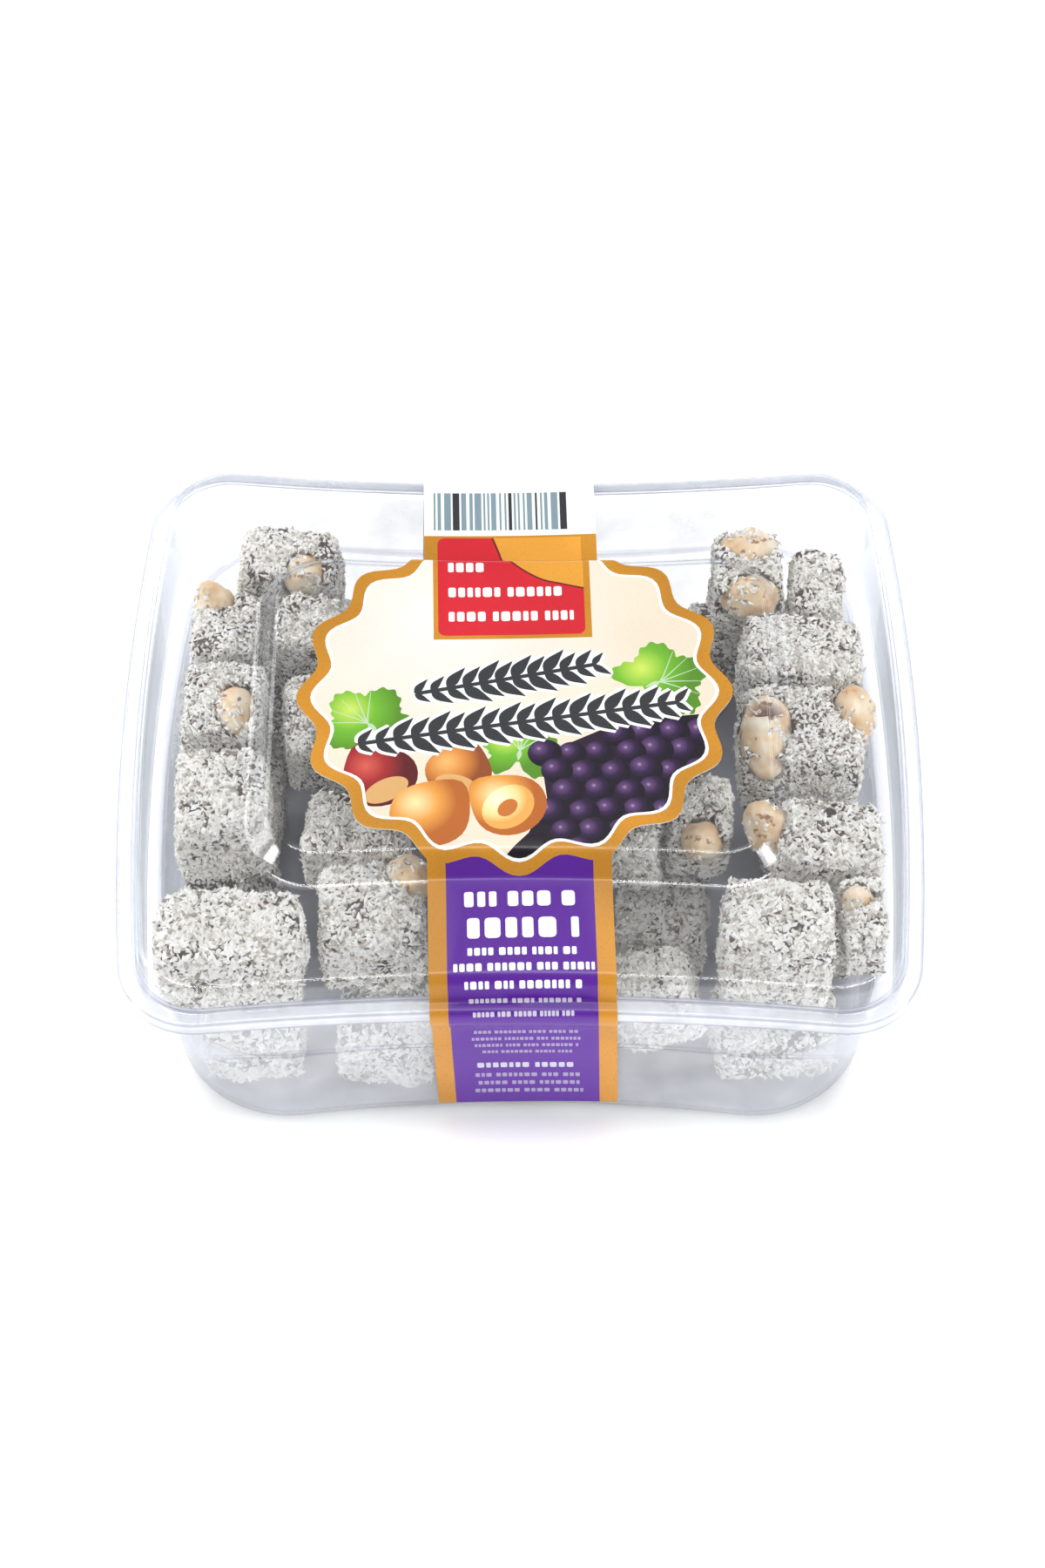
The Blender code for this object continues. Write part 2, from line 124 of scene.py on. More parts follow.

# Milky share of the walls at each height: partly coconut dust and drawn plastic, partly a painted reflection
# of the white room, strongest on the lid's skirt and flange as a painted highlight.
TRAY_HAZE_AND_SHEEN = [(0.0, 0.22), (21.0, 0.20), (30.0, 0.24), (35.0, 0.20)]
LID_HAZE_AND_SHEEN = [(0.0, 0.62), (36.6, 0.55), (37.1, 0.08), (40.0, 0.04), (46.0, 0.02)]

# Share of the light that passes at each height, a painted shade: less at the foot, which darkens the floor
# seen through it, and at folds and trimmed edges, which show as painted dark lines.
TRAY_PAINTED_SHADE = [(0.0, 0.8), (1.0, 0.8), (2.2, 1.0), (20.8, 1.0), (21.0, 0.78), (21.5, 0.78), (22.0, 1.0)]
LID_PAINTED_SHADE = [
    (34.3, 0.62),
    (34.5, 0.62),
    (34.7, 1.0),
    (36.15, 1.0),
    (36.2, 0.7),
    (36.4, 0.7),
    (36.45, 1.0),
    (36.55, 1.0),
    (36.65, 0.68),
    (36.85, 0.68),
    (37.0, 1.0),
    (41.0, 1.0),
]

# The label in millimetres: its gap off the plastic, its turn and middle on the lid, its stripes and badge.
LABEL_GAP = 0.35
LABEL_TURN = math.radians(1.3)
LABEL_CENTRE = Vector((-0.9, 1.4))
BAND_HALF_WIDTH = 15.0
PURPLE_HALF_WIDTH = 12.0
BADGE_RADIUS = 35.2
BADGE_KEYLINE = BADGE_RADIUS - 2.35
BADGE_FIELD = BADGE_RADIUS - 2.95
SCALLOP_HEIGHT = 1.4
SCALLOP_COUNT = 16
LEAF_LOBES = 5
LEAF_TEETH = 24
# The band stops a little short of its last fold line.
LABEL_END_TRIM = 0.5
# Lines that cut the label into strips end well beyond it, and those along it stand at these places.
CUT_HALF_WIDTH = 46.0
CUT_HALF_LENGTH = 100.0
CUTS_ALONG = range(-36, 37, 4)
# Steps in which a fold is rounded, as parts of its reach to both sides.
FOLD_STEPS = (-1.0, -0.5, 0.0, 0.5, 1.0)
# Fold lines of the label's underside on the panel: half width, half depth, corner radius, hollow and height.
PANEL_FOLDS = [(42.2, 31.4, 9.5, 1.1, 44.8), (45.3, 34.8, 11.5, 1.3, 41.2)]
# The further fold lines: inset from the rim, and height.
RIM_FOLDS = [
    (4.2, 41.55),
    (2.95, 40.5),
    (2.25, 36.85),
    (0.05, 36.85),
    (-0.35, 36.3),
    (-0.35, 34.1),
    (2.75, 28.5),
    (2.95, 22.0),
    (4.85, 2.6),
]

# Camera, fitted to the rim and the foot of the box: place, tilt from straight down and lens in millimetres.
CAMERA_PLACE = (0.38, -383.61, 524.43)
CAMERA_TILT = 37.38
CAMERA_LENS = 84.26

# Softboxes round the table: name, place and size in metres, and the brightness of their reflection.
SOFTBOXES = [
    ("left_softbox", (-0.62, 0.16, 0.30), (0.34, 0.30), 4.5),
    ("right_softbox", (0.58, -0.18, 0.30), (0.20, 0.20), 6.0),
    ("top_softbox", (0.0, 0.25, 0.95), (0.5, 0.4), 2.3),
]
# The spot over the table at which every lamp looks.
LAMP_AIM = Vector((0, 0, 0.03))
# Lamps that show only as glints on the plastic's folds.
GLINTS = [
    ("left_streak", (-0.505, 0.455, 0.315), (0.26, 0.26), 5.0),
    ("right_streak", (0.505, 0.455, 0.315), (0.16, 0.16), 3.0),
    ("left_glint", (-0.60, -0.17, 0.29), (0.13, 0.13), 14.0),
    ("right_glint", (0.60, -0.17, 0.29), (0.11, 0.11), 14.0),
    ("ridge_streak", (0.0, 0.08, 0.95), (0.9, 0.10), 18.0),
]
# Brightness of the room in reflections, beside 1 as light, and how many plastic faces a ray may pass.
REFLECTED_ROOM = 0.42
WALL_CROSSINGS = 40
# The table's size and level in metres. A painted glow lights the table round the box and lifts the box's soft
# shadow there to white. It has a dark middle under the box, given in millimetres as its half sizes, how far
# it lies in front of the box's middle and the fade round it, and a strength.
FLOOR_SIZE = 8.0
FLOOR_LEVEL = -0.0002
PAINTED_GLOW_HALF_WIDTH = 50
PAINTED_GLOW_HALF_DEPTH = 44
PAINTED_GLOW_FRONT = 6
PAINTED_GLOW_FADE = 15
PAINTED_GLOW_STRENGTH = 0.5

# The coats of coconut, each over some of the cubes.
UPPER_GROUPS = {
    "coconut_upper_back_left": (1, 2, 3, 4, 5),
    "coconut_upper_front_left": (6, 7, 8, 9),
    "coconut_upper_back_right": (10, 11, 12, 13),
    "coconut_upper_front_right": (14, 15, 16, 17, 18, 19),
}
LOWER_GROUPS = {
    "coconut_lower_front": (1, 2, 3, 4, 13, 19),
    "coconut_lower_left": (5, 6, 7, 8, 15, 16, 17),
    "coconut_lower_right": (9, 10, 11, 12, 14, 18, 20, 21),
}
# Lumps of the cubes' skins: name, width and height in millimetres.
JELLY_LUMPS = [("jelly_swells", 5.5, 1.8), ("jelly_lumps", 1.7, 0.9)]
# Crumbs of coconut: width, length and height of six lumps, four chips and two shreds.
CRUMB_FORMS = [(1.0, 0.85, 0.75)] * 6 + [(1.35, 0.7, 0.45)] * 4 + [(2.4, 0.5, 0.5)] * 2
# How far a crumb's corners stray, and its least and greatest size beside a middling crumb.
CRUMB_STRAY = 0.14
CRUMB_SIZES = (0.55, 1.25)
# The cubes in front have coarser crumbs.
COARSE_CRUMBS = 1.25
# Crumbs on each square millimetre of a kernel.
KERNEL_COVER = 1.6
# Where a coat is thin: the noise below which it is thinnest, that above which it is full, the least share.
JELLY_PATCHES = (0.36, 0.52, 0.5)
KERNEL_PATCHES = (0.50, 0.60, 0.0)
# The hollow kernel: its slit's mouth from the middle of its top, the slit's form, reach and depth.
HOLLOW_KERNEL = "hazelnut_06"
HOLLOW_MOUTH = Vector((-0.2, 3.2, -0.8))
HOLLOW_FORM = Vector((0.75, 1.4, 0.8))
HOLLOW_REACH = 3.0
HOLLOW_DEPTH = 2.8
# The brown skin in it: how far under the mouth its middle is, its form, and where it starts to fade and ends.
STAIN_DEPTH = 1.2
STAIN_FORM = (0.75, 1.5, 0.6)
STAIN_FADE = (1.2, 2.9)
# Lumps of the kernels: width and height in millimetres.
KERNEL_LUMP_WIDTH = 3.6
KERNEL_LUMP_HEIGHT = 1.5


def linear(code):
    """An sRGB hex colour as linear red, green and blue."""
    parts = [int(code[i : i + 2], 16) / 255 for i in (1, 3, 5)]
    return tuple(p / 12.92 if p <= 0.04045 else ((p + 0.055) / 1.055) ** 2.4 for p in parts)


def length(name, text, millimetres):
    return bpy.props.FloatProperty(name=name, description=text, default=millimetres * MM, unit="LENGTH")


def colour(name, text, code):
    return bpy.props.FloatVectorProperty(
        name=name, description=text, subtype="COLOR", size=3, min=0.0, max=1.0, default=linear(code)
    )


class LokumBoxSizes(bpy.types.PropertyGroup):
    """Sizes that a user of the box may change."""

    wall: length("Plastic wall", "Thickness of the tray's and the lid's plastic", 0.6)
    paper: length("Label paper", "Thickness of the label band", 0.18)
    fold: length("Label fold", "How far a fold of the label is rounded to each side", 0.6)
    voxel: length("Jelly detail", "Voxel size of a jelly cube's skin", 0.75)
    crumb: length("Coconut crumb", "Width of a middling crumb of coconut", 1.1)
    upper_cover: bpy.props.FloatProperty(
        name="Upper coconut", description="Crumbs on each square millimetre of the upper cubes", default=3.4
    )
    lower_cover: bpy.props.FloatProperty(
        name="Lower coconut", description="Crumbs on each square millimetre of the lower cubes", default=2.3
    )
    seed: bpy.props.IntProperty(name="Seed", description="Seed of every random draw", default=11)


class LokumBoxColours(bpy.types.PropertyGroup):
    """Colours that a user of the box may change."""

    gold: colour("Gold ink", "Border and side stripes of the label", "#C4851F")
    purple: colour("Purple ink", "Field of the band", "#561494")
    cream: colour("Cream ink", "Field of the badge", "#E6D8C2")
    white: colour("White paper", "Keylines and bar field", "#F4F6F4")
    red: colour("Red ink", "Plaque of the badge", "#CE1528")
    ink: colour("Dark ink", "Garlands and darker bars", "#333337")
    bars: colour("Bar ink", "Paler bars", "#7F969F")
    leaf: colour("Leaf ink", "Printed leaves", "#6FB52A")
    grape: colour("Grape ink", "Printed grapes", "#2E1440")
    nut: colour("Nut ink", "Printed hazelnuts", "#E39A3F")
    plastic: colour("Clear plastic", "Tint of the plastic where it is seen edge on", "#D2DAE4")
    # The walls' milky colour: dust and drawn plastic, and a painted reflection of the white room.
    haze_and_sheen: colour("Plastic haze", "Milkiness of the drawn plastic walls", "#F1F3F8")
    jelly: colour("Grape jelly", "Jelly under the coconut", "#2E171A")
    coconut: colour("Coconut", "Lightest crumbs", "#FCFBF8")
    kernel: colour("Hazelnut kernel", "Blanched kernels", "#EED2AA")
    floor: colour("Floor", "Table under the box", "#FAFAFA")


def sizes():
    return bpy.context.scene.lokum_box_sizes


def colours():
    return bpy.context.scene.lokum_box_colours


def deselect():
    if bpy.context.mode != "OBJECT":
        bpy.ops.object.mode_set(mode="OBJECT")
    bpy.ops.object.select_all(action="DESELECT")


def take(obj):
    """Selects one object alone."""
    deselect()
    obj.select_set(True)
    bpy.context.view_layer.objects.active = obj


def finish_with(obj, kind, **settings):
    """Adds a modifier with its settings and applies it."""
    modifier = obj.modifiers.new(kind.title(), kind)
    for key, value in settings.items():
        setattr(modifier, key, value)
    take(obj)
    bpy.ops.object.modifier_apply(modifier=modifier.name)


def smooth_by_angle(obj, degrees):
    take(obj)
    bpy.ops.object.shade_smooth_by_angle(angle=math.radians(degrees))


def node(tree, kind, links=None, stops=(), **settings):
    """Adds a node: links map an input to a value, output or node, stops are a ramp's places and colours."""
    made = tree.nodes.new(kind)
    for key, value in settings.items():
        setattr(made, key, value)
    for key, value in (links or {}).items():
        if isinstance(value, bpy.types.Node):
            value = value.outputs[0]
        if isinstance(value, bpy.types.NodeSocket):
            tree.links.new(value, made.inputs[key])
        else:
            made.inputs[key].default_value = value
    if stops:
        elements = made.color_ramp.elements
        while len(elements) < len(stops):
            elements.new(0.5)
        for element, (place, shade) in zip(elements, stops):
            element.position = place
            element.color = (*shade, 1.0)
    return made


def new_material(name):
    """An empty node material and its tree."""
    material = bpy.data.materials.new(name)
    material.use_nodes = True
    material.node_tree.nodes.clear()
    return material, material.node_tree


def scaled(shade, factor):
    return tuple(min(1.0, part * factor) for part in shade)


def mixed(first, second, share):
    return tuple(a + (b - a) * share for a, b in zip(first, second))


# Plans and shells.


def rounded_plan(half_width, half_depth, radius, hollow, bulge):
    """Counter-clockwise plan of a rounded box: hollow front and back, bulging sides, arcs at the corners."""
    core_x = half_width - radius - bulge
    core_y = half_depth - radius
    sides = []
    for quarter in range(4):
        steps = LONG_SIDE_STEPS if quarter % 2 == 0 else SHORT_SIDE_STEPS
        reach, height = (core_x, -hollow) if quarter % 2 == 0 else (core_y, bulge)
        depth = core_y if quarter % 2 == 0 else core_x
        spin = Matrix.Rotation(quarter * math.pi / 2, 2)
        side = []
        for step in range(steps + 1):
            t = 2 * step / steps - 1
            base = Vector((t * reach, -depth - height * (1 - t * t)))
            outward = Vector((2 * height * t / reach, -1.0)).normalized()
            side.append((spin @ base, spin @ (base + outward * radius)))
        sides.append(side)
    plan = []
    for quarter, side in enumerate(sides):
        plan += [point for _, point in side]
        corner, start = side[-1]
        end = sides[(quarter + 1) % 4][0][1]
        first = math.atan2(start.y - corner.y, start.x - corner.x)
        turn = (math.atan2(end.y - corner.y, end.x - corner.x) - first) % (2 * math.pi)
        for step in range(1, CORNER_STEPS):
            angle = first + turn * step / CORNER_STEPS
            plan.append(corner + radius * Vector((math.cos(angle), math.sin(angle))))
    return [(point.x, point.y) for point in plan]


def rim_plan(inset_x, inset_y, radius):
    half_width, half_depth = RIM_HALF_WIDTH - inset_x, RIM_HALF_DEPTH - inset_y
    return rounded_plan(half_width, half_depth, radius, FRONT_HOLLOW, SIDE_BULGE)


def ring(plan, height):
    return np.array([(x, y, height) for x, y in plan])


def rounded_rings(rings, reaches, steps=4):
    """The rings of an angular profile, each fold rounded over its reach, with a guard ring to both sides."""
    made = [rings[0]]
    for before, here, after, reach in zip(rings, rings[1:], rings[2:], reaches[1:]):
        back = np.linalg.norm(before - here, axis=1).mean()
        onward = np.linalg.norm(after - here, axis=1).mean()
        first = here + (before - here) * min(reach / back, FOLD_SHARE)
        last = here + (after - here) * min(reach / onward, FOLD_SHARE)
        made.append(here + (before - here) * min(GUARD_REACH * reach / back, GUARD_SHARE))
        for step in range(steps + 1):
            t = step / steps
            made.append(first * (1 - t) ** 2 + 2 * here * t * (1 - t) + last * t * t)
        made.append(here + (after - here) * min(GUARD_REACH * reach / onward, GUARD_SHARE))
    return made + [rings[-1]]


def loft_shell(name, rings, opens_up):
    """A grid wrapped through the rings, joined along its seam, closed at its last ring, thickened inwards."""
    deselect()
    count, rows = len(rings[0]), len(rings)
    bpy.ops.mesh.primitive_grid_add(x_subdivisions=count, y_subdivisions=rows - 1, size=1.0)
    obj = bpy.context.object
    obj.name = obj.data.name = name
    points = np.concatenate([np.vstack((row, row[:1])) for row in rings]) * MM
    if len(obj.data.vertices) != len(points):
        raise RuntimeError(f"{name}: the grid has {len(obj.data.vertices)} points, not {len(points)}")
    obj.data.vertices.foreach_set("co", points.ravel())
    bpy.ops.object.mode_set(mode="EDIT")
    bpy.ops.mesh.select_mode(type="EDGE")
    bpy.ops.mesh.select_all(action="SELECT")
    bpy.ops.mesh.remove_doubles(threshold=1e-6)
    bpy.ops.mesh.select_all(action="DESELECT")
    mesh = bmesh.from_edit_mesh(obj.data)
    last = rings[-1].mean(axis=0) * MM
    reach = np.abs(rings[-1] * MM - last).max() * 1.01
    for edge in mesh.edges:
        middle = (edge.verts[0].co + edge.verts[1].co) / 2
        level = abs(middle.z - last[2]) < 1e-6
        edge.select = edge.is_boundary and level and (middle - Vector(last)).length < 2 * reach
    bmesh.update_edit_mesh(obj.data)
    bpy.ops.mesh.edge_face_add()
    bpy.ops.mesh.select_all(action="SELECT")
    bpy.ops.mesh.normals_make_consistent(inside=False)
    mesh = bmesh.from_edit_mesh(obj.data)
    cap = max(mesh.faces, key=lambda face: len(face.verts))
    if (cap.normal.z > 0) == opens_up:
        bpy.ops.mesh.flip_normals()
    bpy.ops.object.mode_set(mode="OBJECT")
    finish_with(obj, "SOLIDIFY", thickness=sizes().wall, offset=-1.0, use_even_offset=True)
    smooth_by_angle(obj, 50)
    return obj


def clear_plastic(name, ripple, haze_and_sheen, level_haze_and_sheen, painted_shade):
    """Thermoformed PET: clear and glossy; milky by height, partly dust and drawn plastic and partly painted
    reflection and highlight; grey-blue edge on, with painted dark lines at its folds.
    """
    material, tree = new_material(name)
    place = node(tree, "ShaderNodeTexCoord").outputs["Object"]
    # The sheet is not quite flat: ripples of about 16 mm bend its reflections.
    waves = node(tree, "ShaderNodeTexNoise", {"Vector": place, "Scale": 1 / (16 * MM), "Detail": 1.0})
    bump = node(tree, "ShaderNodeBump", {"Height": waves, "Strength": ripple, "Distance": 0.3 * MM})
    facing = node(tree, "ShaderNodeLayerWeight", {"Blend": 0.5, "Normal": bump}).outputs["Facing"]
    power = node(tree, "ShaderNodeMath", {0: facing, 1: 5.0}, operation="POWER")
    # Schlick's reflection for an IOR of about 1.57, the same on the inner and the outer face of the wall.
    share = node(tree, "ShaderNodeMath", {0: power, 1: 0.95, 2: 0.05}, operation="MULTIPLY_ADD")
    # Grey-blue edge on: partly the longer path through the plastic, partly painted shade in place of dark
    # surroundings seen refracted at grazing angles.
    edge = node(tree, "ShaderNodeMath", {0: facing, 1: 4.0}, operation="POWER")
    stops = [(0.0, (0.992, 0.995, 0.998)), (1.0, colours().plastic)]
    tint = node(tree, "ShaderNodeValToRGB", {0: edge}, stops)
    # The haze, partly a painted reflection of the room and a painted highlight on the lid's skirt, follows
    # the height of the wall, and is fainter on its level parts.
    height = node(tree, "ShaderNodeSeparateXYZ", {0: place}).outputs["Z"]
    height = node(tree, "ShaderNodeMapRange", {0: height, 1: 0.0, 2: WALL_RANGE * MM})
    stops = [(z / WALL_RANGE, (part, part, part)) for z, part in haze_and_sheen]
    haze_and_sheen = node(tree, "ShaderNodeValToRGB", {0: height}, stops)
    normal = node(tree, "ShaderNodeNewGeometry").outputs["True Normal"]
    level = node(tree, "ShaderNodeSeparateXYZ", {0: normal}).outputs["Z"]
    level = node(tree, "ShaderNodeMath", {0: level}, operation="ABSOLUTE")
    upright = node(tree, "ShaderNodeMapRange", {0: level, 1: 0.5, 2: 0.95, 3: 1.0, 4: level_haze_and_sheen})
    haze_and_sheen = node(tree, "ShaderNodeMath", {0: haze_and_sheen, 1: upright}, operation="MULTIPLY")
    # Coconut dust clings to the inside of the walls in drifts of about 9 mm.
    drifts = node(tree, "ShaderNodeTexNoise", {"Vector": place, "Scale": 1 / (9 * MM), "Detail": 3.0})
    drift = node(tree, "ShaderNodeMapRange", {0: drifts, 1: 0.35, 2: 0.65, 3: 0.75, 4: 1.25})
    haze_and_sheen = node(tree, "ShaderNodeMath", {0: haze_and_sheen, 1: drift}, operation="MULTIPLY")
    # Painted shade: folds, trimmed edges and the tray's foot pass less light, so they show as thin grey-blue
    # lines in place of dark surroundings seen refracted there, and the foot darkens the floor seen through
    # it.
    stops = [(z / WALL_RANGE, (part, part, part**0.8)) for z, part in painted_shade]
    painted_shade = node(tree, "ShaderNodeValToRGB", {0: height}, stops)
    tint = node(tree, "ShaderNodeVectorMath", {0: tint, 1: painted_shade}, operation="MULTIPLY")
    milk_and_sheen = node(tree, "ShaderNodeVectorMath", {0: tuple(colours().haze_and_sheen), 1: painted_shade}, operation="MULTIPLY")
    clear = node(tree, "ShaderNodeBsdfTransparent", {"Color": tint})
    # The milky part is a lit diffuse white: partly dust and drawn plastic, partly a painted reflection of the
    # room and a painted highlight.
    milk_and_sheen = node(tree, "ShaderNodeBsdfDiffuse", {"Color": milk_and_sheen})
    body = node(tree, "ShaderNodeMixShader", {0: haze_and_sheen, 1: clear, 2: milk_and_sheen})
    gloss = node(tree, "ShaderNodeBsdfGlossy", {"Roughness": 0.04, "Normal": bump})
    wall = node(tree, "ShaderNodeMixShader", {0: share, 1: body, 2: gloss})
    # So thin a clear wall takes next to nothing from the light that falls through it.
    shadow = node(tree, "ShaderNodeLightPath").outputs["Is Shadow Ray"]
    open_way = node(tree, "ShaderNodeBsdfTransparent")
    whole = node(tree, "ShaderNodeMixShader", {0: shadow, 1: wall, 2: open_way})
    node(tree, "ShaderNodeOutputMaterial", {"Surface": whole})
    return material


class LOKUMBOX_OT_tray(bpy.types.Operator):
    """Builds the clear tray"""

    bl_idname = "lokum_box.tray"
    bl_label = "Tray"

    def execute(self, context):
        rings = [ring(rim_plan(x, y, radius), z) for x, y, radius, z, _ in TRAY_STATIONS]
        rings = rounded_rings(rings, [station[4] for station in TRAY_STATIONS])
        tray = loft_shell("clear_tray", rings, opens_up=True)
        tray.data.materials.append(clear_plastic("clear_tray_pet", 0.15, TRAY_HAZE_AND_SHEEN, 0.08, TRAY_PAINTED_SHADE))
        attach(tray, "root")
        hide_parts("tray")
        return {"FINISHED"}


class LOKUMBOX_OT_lid(bpy.types.Operator):
    """Builds the clear lid with its raised panel"""

    bl_idname = "lokum_box.lid"
    bl_label = "Lid"

    def execute(self, context):
        stations = [(ring(rim_plan(x, y, radius), z), reach) for x, y, radius, z, reach in LID_STATIONS]
        for half_width, half_depth, radius, hollow, z, reach in PANEL_STATIONS:
            stations.append((ring(rounded_plan(half_width, half_depth, radius, hollow, 0.0), z), reach))
        rings, reaches = zip(*stations)
        lid = loft_shell("clear_lid", rounded_rings(list(rings), reaches), opens_up=False)
        lid.data.materials.append(clear_plastic("clear_lid_pet", 0.2, LID_HAZE_AND_SHEEN, 0.6, LID_PAINTED_SHADE))
        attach(lid, "root")
        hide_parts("lid")
        return {"FINISHED"}


# The label: flat fields of print, cut where they cross and at each fold, then draped over the box.


class Drape:
    """Maps a point of the flat label to its place on the closed box."""

    def __init__(self):
        self.folds = []
        for half_width, half_depth, radius, hollow, z in PANEL_FOLDS:
            plan = rounded_plan(half_width + LABEL_GAP, half_depth + LABEL_GAP, radius, hollow, 0.0)
            self.folds.append((self.front_of(plan), z + LABEL_GAP))
        for inset, z in RIM_FOLDS:
            self.folds.append((self.front_of(rim_plan(inset, inset, RIM_CORNER)), z))
        spots = [self.spot(i, 0.0, 1) for i in range(len(self.folds))]
        self.lengths = [spots[0].y]
        for a, b in zip(spots, spots[1:]):
            self.lengths.append(self.lengths[-1] + (b - a).length)

    def front_of(self, plan):
        """The front side alone of a plan."""
        return np.array(plan[: LONG_SIDE_STEPS + 1])

    def spot(self, index, x, side):
        """Where the label crosses a fold at x, in front for side -1 and behind for side 1."""
        front, height = self.folds[index]
        return Vector((x, -side * np.interp(x, front[:, 0], front[:, 1]), height))

    def angular(self, x, along):
        """The spot on the box at a length along the label, with sharp folds."""
        side = -1 if along < 0 else 1
        lengths = self.lengths
        reach = min(abs(along), lengths[-1])
        if reach <= lengths[0]:
            edge = self.spot(0, x, side)
            return Vector((x, edge.y * reach / lengths[0], edge.z))
        index = next(i for i, b in enumerate(lengths) if reach <= b)
        share = (reach - lengths[index - 1]) / (lengths[index] - lengths[index - 1])
        return self.spot(index - 1, x, side).lerp(self.spot(index, x, side), share)

    def place(self, point, fold):
        """The spot on the box for a point of the label, each fold rounded over the length fold both ways."""
        x, along = Matrix.Rotation(LABEL_TURN, 2) @ point + LABEL_CENTRE
        spots = (self.angular(x, along + step * fold) for step in FOLD_STEPS)
        return sum(spots, Vector((0, 0, 0))) / len(FOLD_STEPS)


def on_label(x, along):
    """A point at x and a distance along the box's middle line, in the label's own turned frame."""
    point = Matrix.Rotation(-LABEL_TURN, 2) @ (Vector((x, along)) - LABEL_CENTRE)
    return point.x, point.y


def smooth_line(points, steps=10):
    """Points on a smooth curve through the given ones."""
    dense = np.linspace(0, len(points) - 1, (len(points) - 1) * steps + 1)
    given = np.array(points)
    return np.stack([catmull(given[:, 0], dense), catmull(given[:, 1], dense)], axis=1)


def scallops(radius, height, steps=12 * SCALLOP_COUNT):
    """A ring of soft bumps round the badge's centre."""
    points = []
    for step in range(steps):
        angle = 2 * math.pi * step / steps
        reach = radius + height * math.cos(SCALLOP_COUNT * angle)
        points.append((reach * math.cos(angle), reach * math.sin(angle)))
    return points


def slab(x0, y0, x1, y1):
    return [(x0, y0), (x1, y0), (x1, y1), (x0, y1)]


def soft_slab(x0, y0, x1, y1, radius, steps=5):
    """A rectangle with rounded corners."""
    corners = [(x1 - radius, y0 + radius, -90), (x1 - radius, y1 - radius, 0)]
    corners += [(x0 + radius, y1 - radius, 90), (x0 + radius, y0 + radius, 180)]
    points = []
    for x, y, start in corners:
        for step in range(steps + 1):
            angle = math.radians(start + 90 * step / steps)
            points.append((x + radius * math.cos(angle), y + radius * math.sin(angle)))
    return points


def disc(x, y, radius, squash=1.0, turn=0.0, point=0.0, steps=28):
    """A round motif, squashed, turned, or drawn out to a soft point at its top."""
    points = []
    for step in range(steps):
        angle = 2 * math.pi * step / steps
        px, py = math.cos(angle), math.sin(angle) * squash
        py += point * max(0.0, math.sin(angle)) ** 6
        px *= 1 - 0.25 * point * max(0.0, math.sin(angle))
        across = px * math.cos(turn) - py * math.sin(turn)
        upward = px * math.sin(turn) + py * math.cos(turn)
        points.append((x + radius * across, y + radius * upward))
    return points


def leaf_outline(x, y, size, turn, steps=120):
    """A vine leaf: five rounded lobes with fine teeth, and a notch where the stalk joins."""
    points = []
    for step in range(steps):
        angle = 2 * math.pi * step / steps
        reach = 0.72 + 0.26 * abs(math.cos(LEAF_LOBES * angle / 2)) ** 1.3
        reach *= 1 - 0.55 * math.exp(-(((angle - math.pi) / 0.35) ** 2))
        reach += 0.035 * math.cos(LEAF_TEETH * angle)
        points.append((x + size * reach * math.cos(angle + turn), y + size * reach * math.sin(angle + turn)))
    return points


def stroke(points, widths, steps=10):
    """Outline of a brush stroke through the points, of the given half width at each."""
    line = smooth_line(points, steps)
    dense = np.arange(len(line)) / steps
    half = np.maximum(catmull(np.array(widths, dtype=float), dense), 0.04)[:, None]
    along = np.gradient(line, axis=0)
    across = np.stack([-along[:, 1], along[:, 0]], axis=1) / np.hypot(along[:, 0], along[:, 1])[:, None]
    outline = np.concatenate([line - across * half, (line + across * half)[::-1]])
    return [tuple(point) for point in outline]


def garland(start, end, step, tall, grow):
    """A laurel garland on a line: a stem with curved leaves to both sides, grown by grow for a white edge."""
    start, end = Vector(start), Vector(end)
    ahead = (end - start).normalized()
    up = Vector((-ahead.y, ahead.x))
    count = round((end - start).length / step)
    shapes = [stroke([tuple(start), tuple(start.lerp(end, 0.5)), tuple(end)], [0.4 + grow] * 3, 12)]
    for index in range(count + 1):
        foot = start.lerp(end, index / count)
        for side in (1, -1):
            size = tall * (0.5 if (index + (side > 0)) % 2 else 0.42)
            size *= min(1.0, 0.62 + 0.14 * min(index, count - index))
            bend = foot + ahead * 0.30 * size + up * side * 0.42 * size
            tip = foot + ahead * 0.95 * size + up * side * size
            half = [0.3 + grow, 0.27 * size + grow, 0.08 + grow]
            shapes.append(stroke([tuple(foot), tuple(bend), tuple(tip)], half, 8))
    return shapes


def blocks(y, left, right, tall, draw):
    """A row of plain upright tiles in groups, which stands where a line of print would."""
    shapes = []
    x = left
    group = draw.randint(3, 7)
    while x < right - 0.3 * tall:
        wide = min(tall * draw.uniform(0.4, 0.75), right - x)
        shapes.append(soft_slab(x, y - tall / 2, x + wide, y + tall / 2, min(wide, tall) * 0.25, 2))
        group -= 1
        x += wide + tall * (0.2 if group else 0.6)
        group = group or draw.randint(3, 7)
    return shapes


def catmull(values, dense):
    """Values on a smooth curve through the given ones."""
    padded = np.concatenate(([2 * values[0] - values[1]], values, [2 * values[-1] - values[-2]]))
    made = []
    for at in dense:
        i = min(int(at), len(values) - 2)
        t = at - i
        a, b, c, d = padded[i : i + 4]
        second = (2 * a - 5 * b + 4 * c - d) * t * t
        third = (3 * b - 3 * c + d - a) * t**3
        made.append(0.5 * (2 * b + (c - a) * t + second + third))
    return np.array(made)


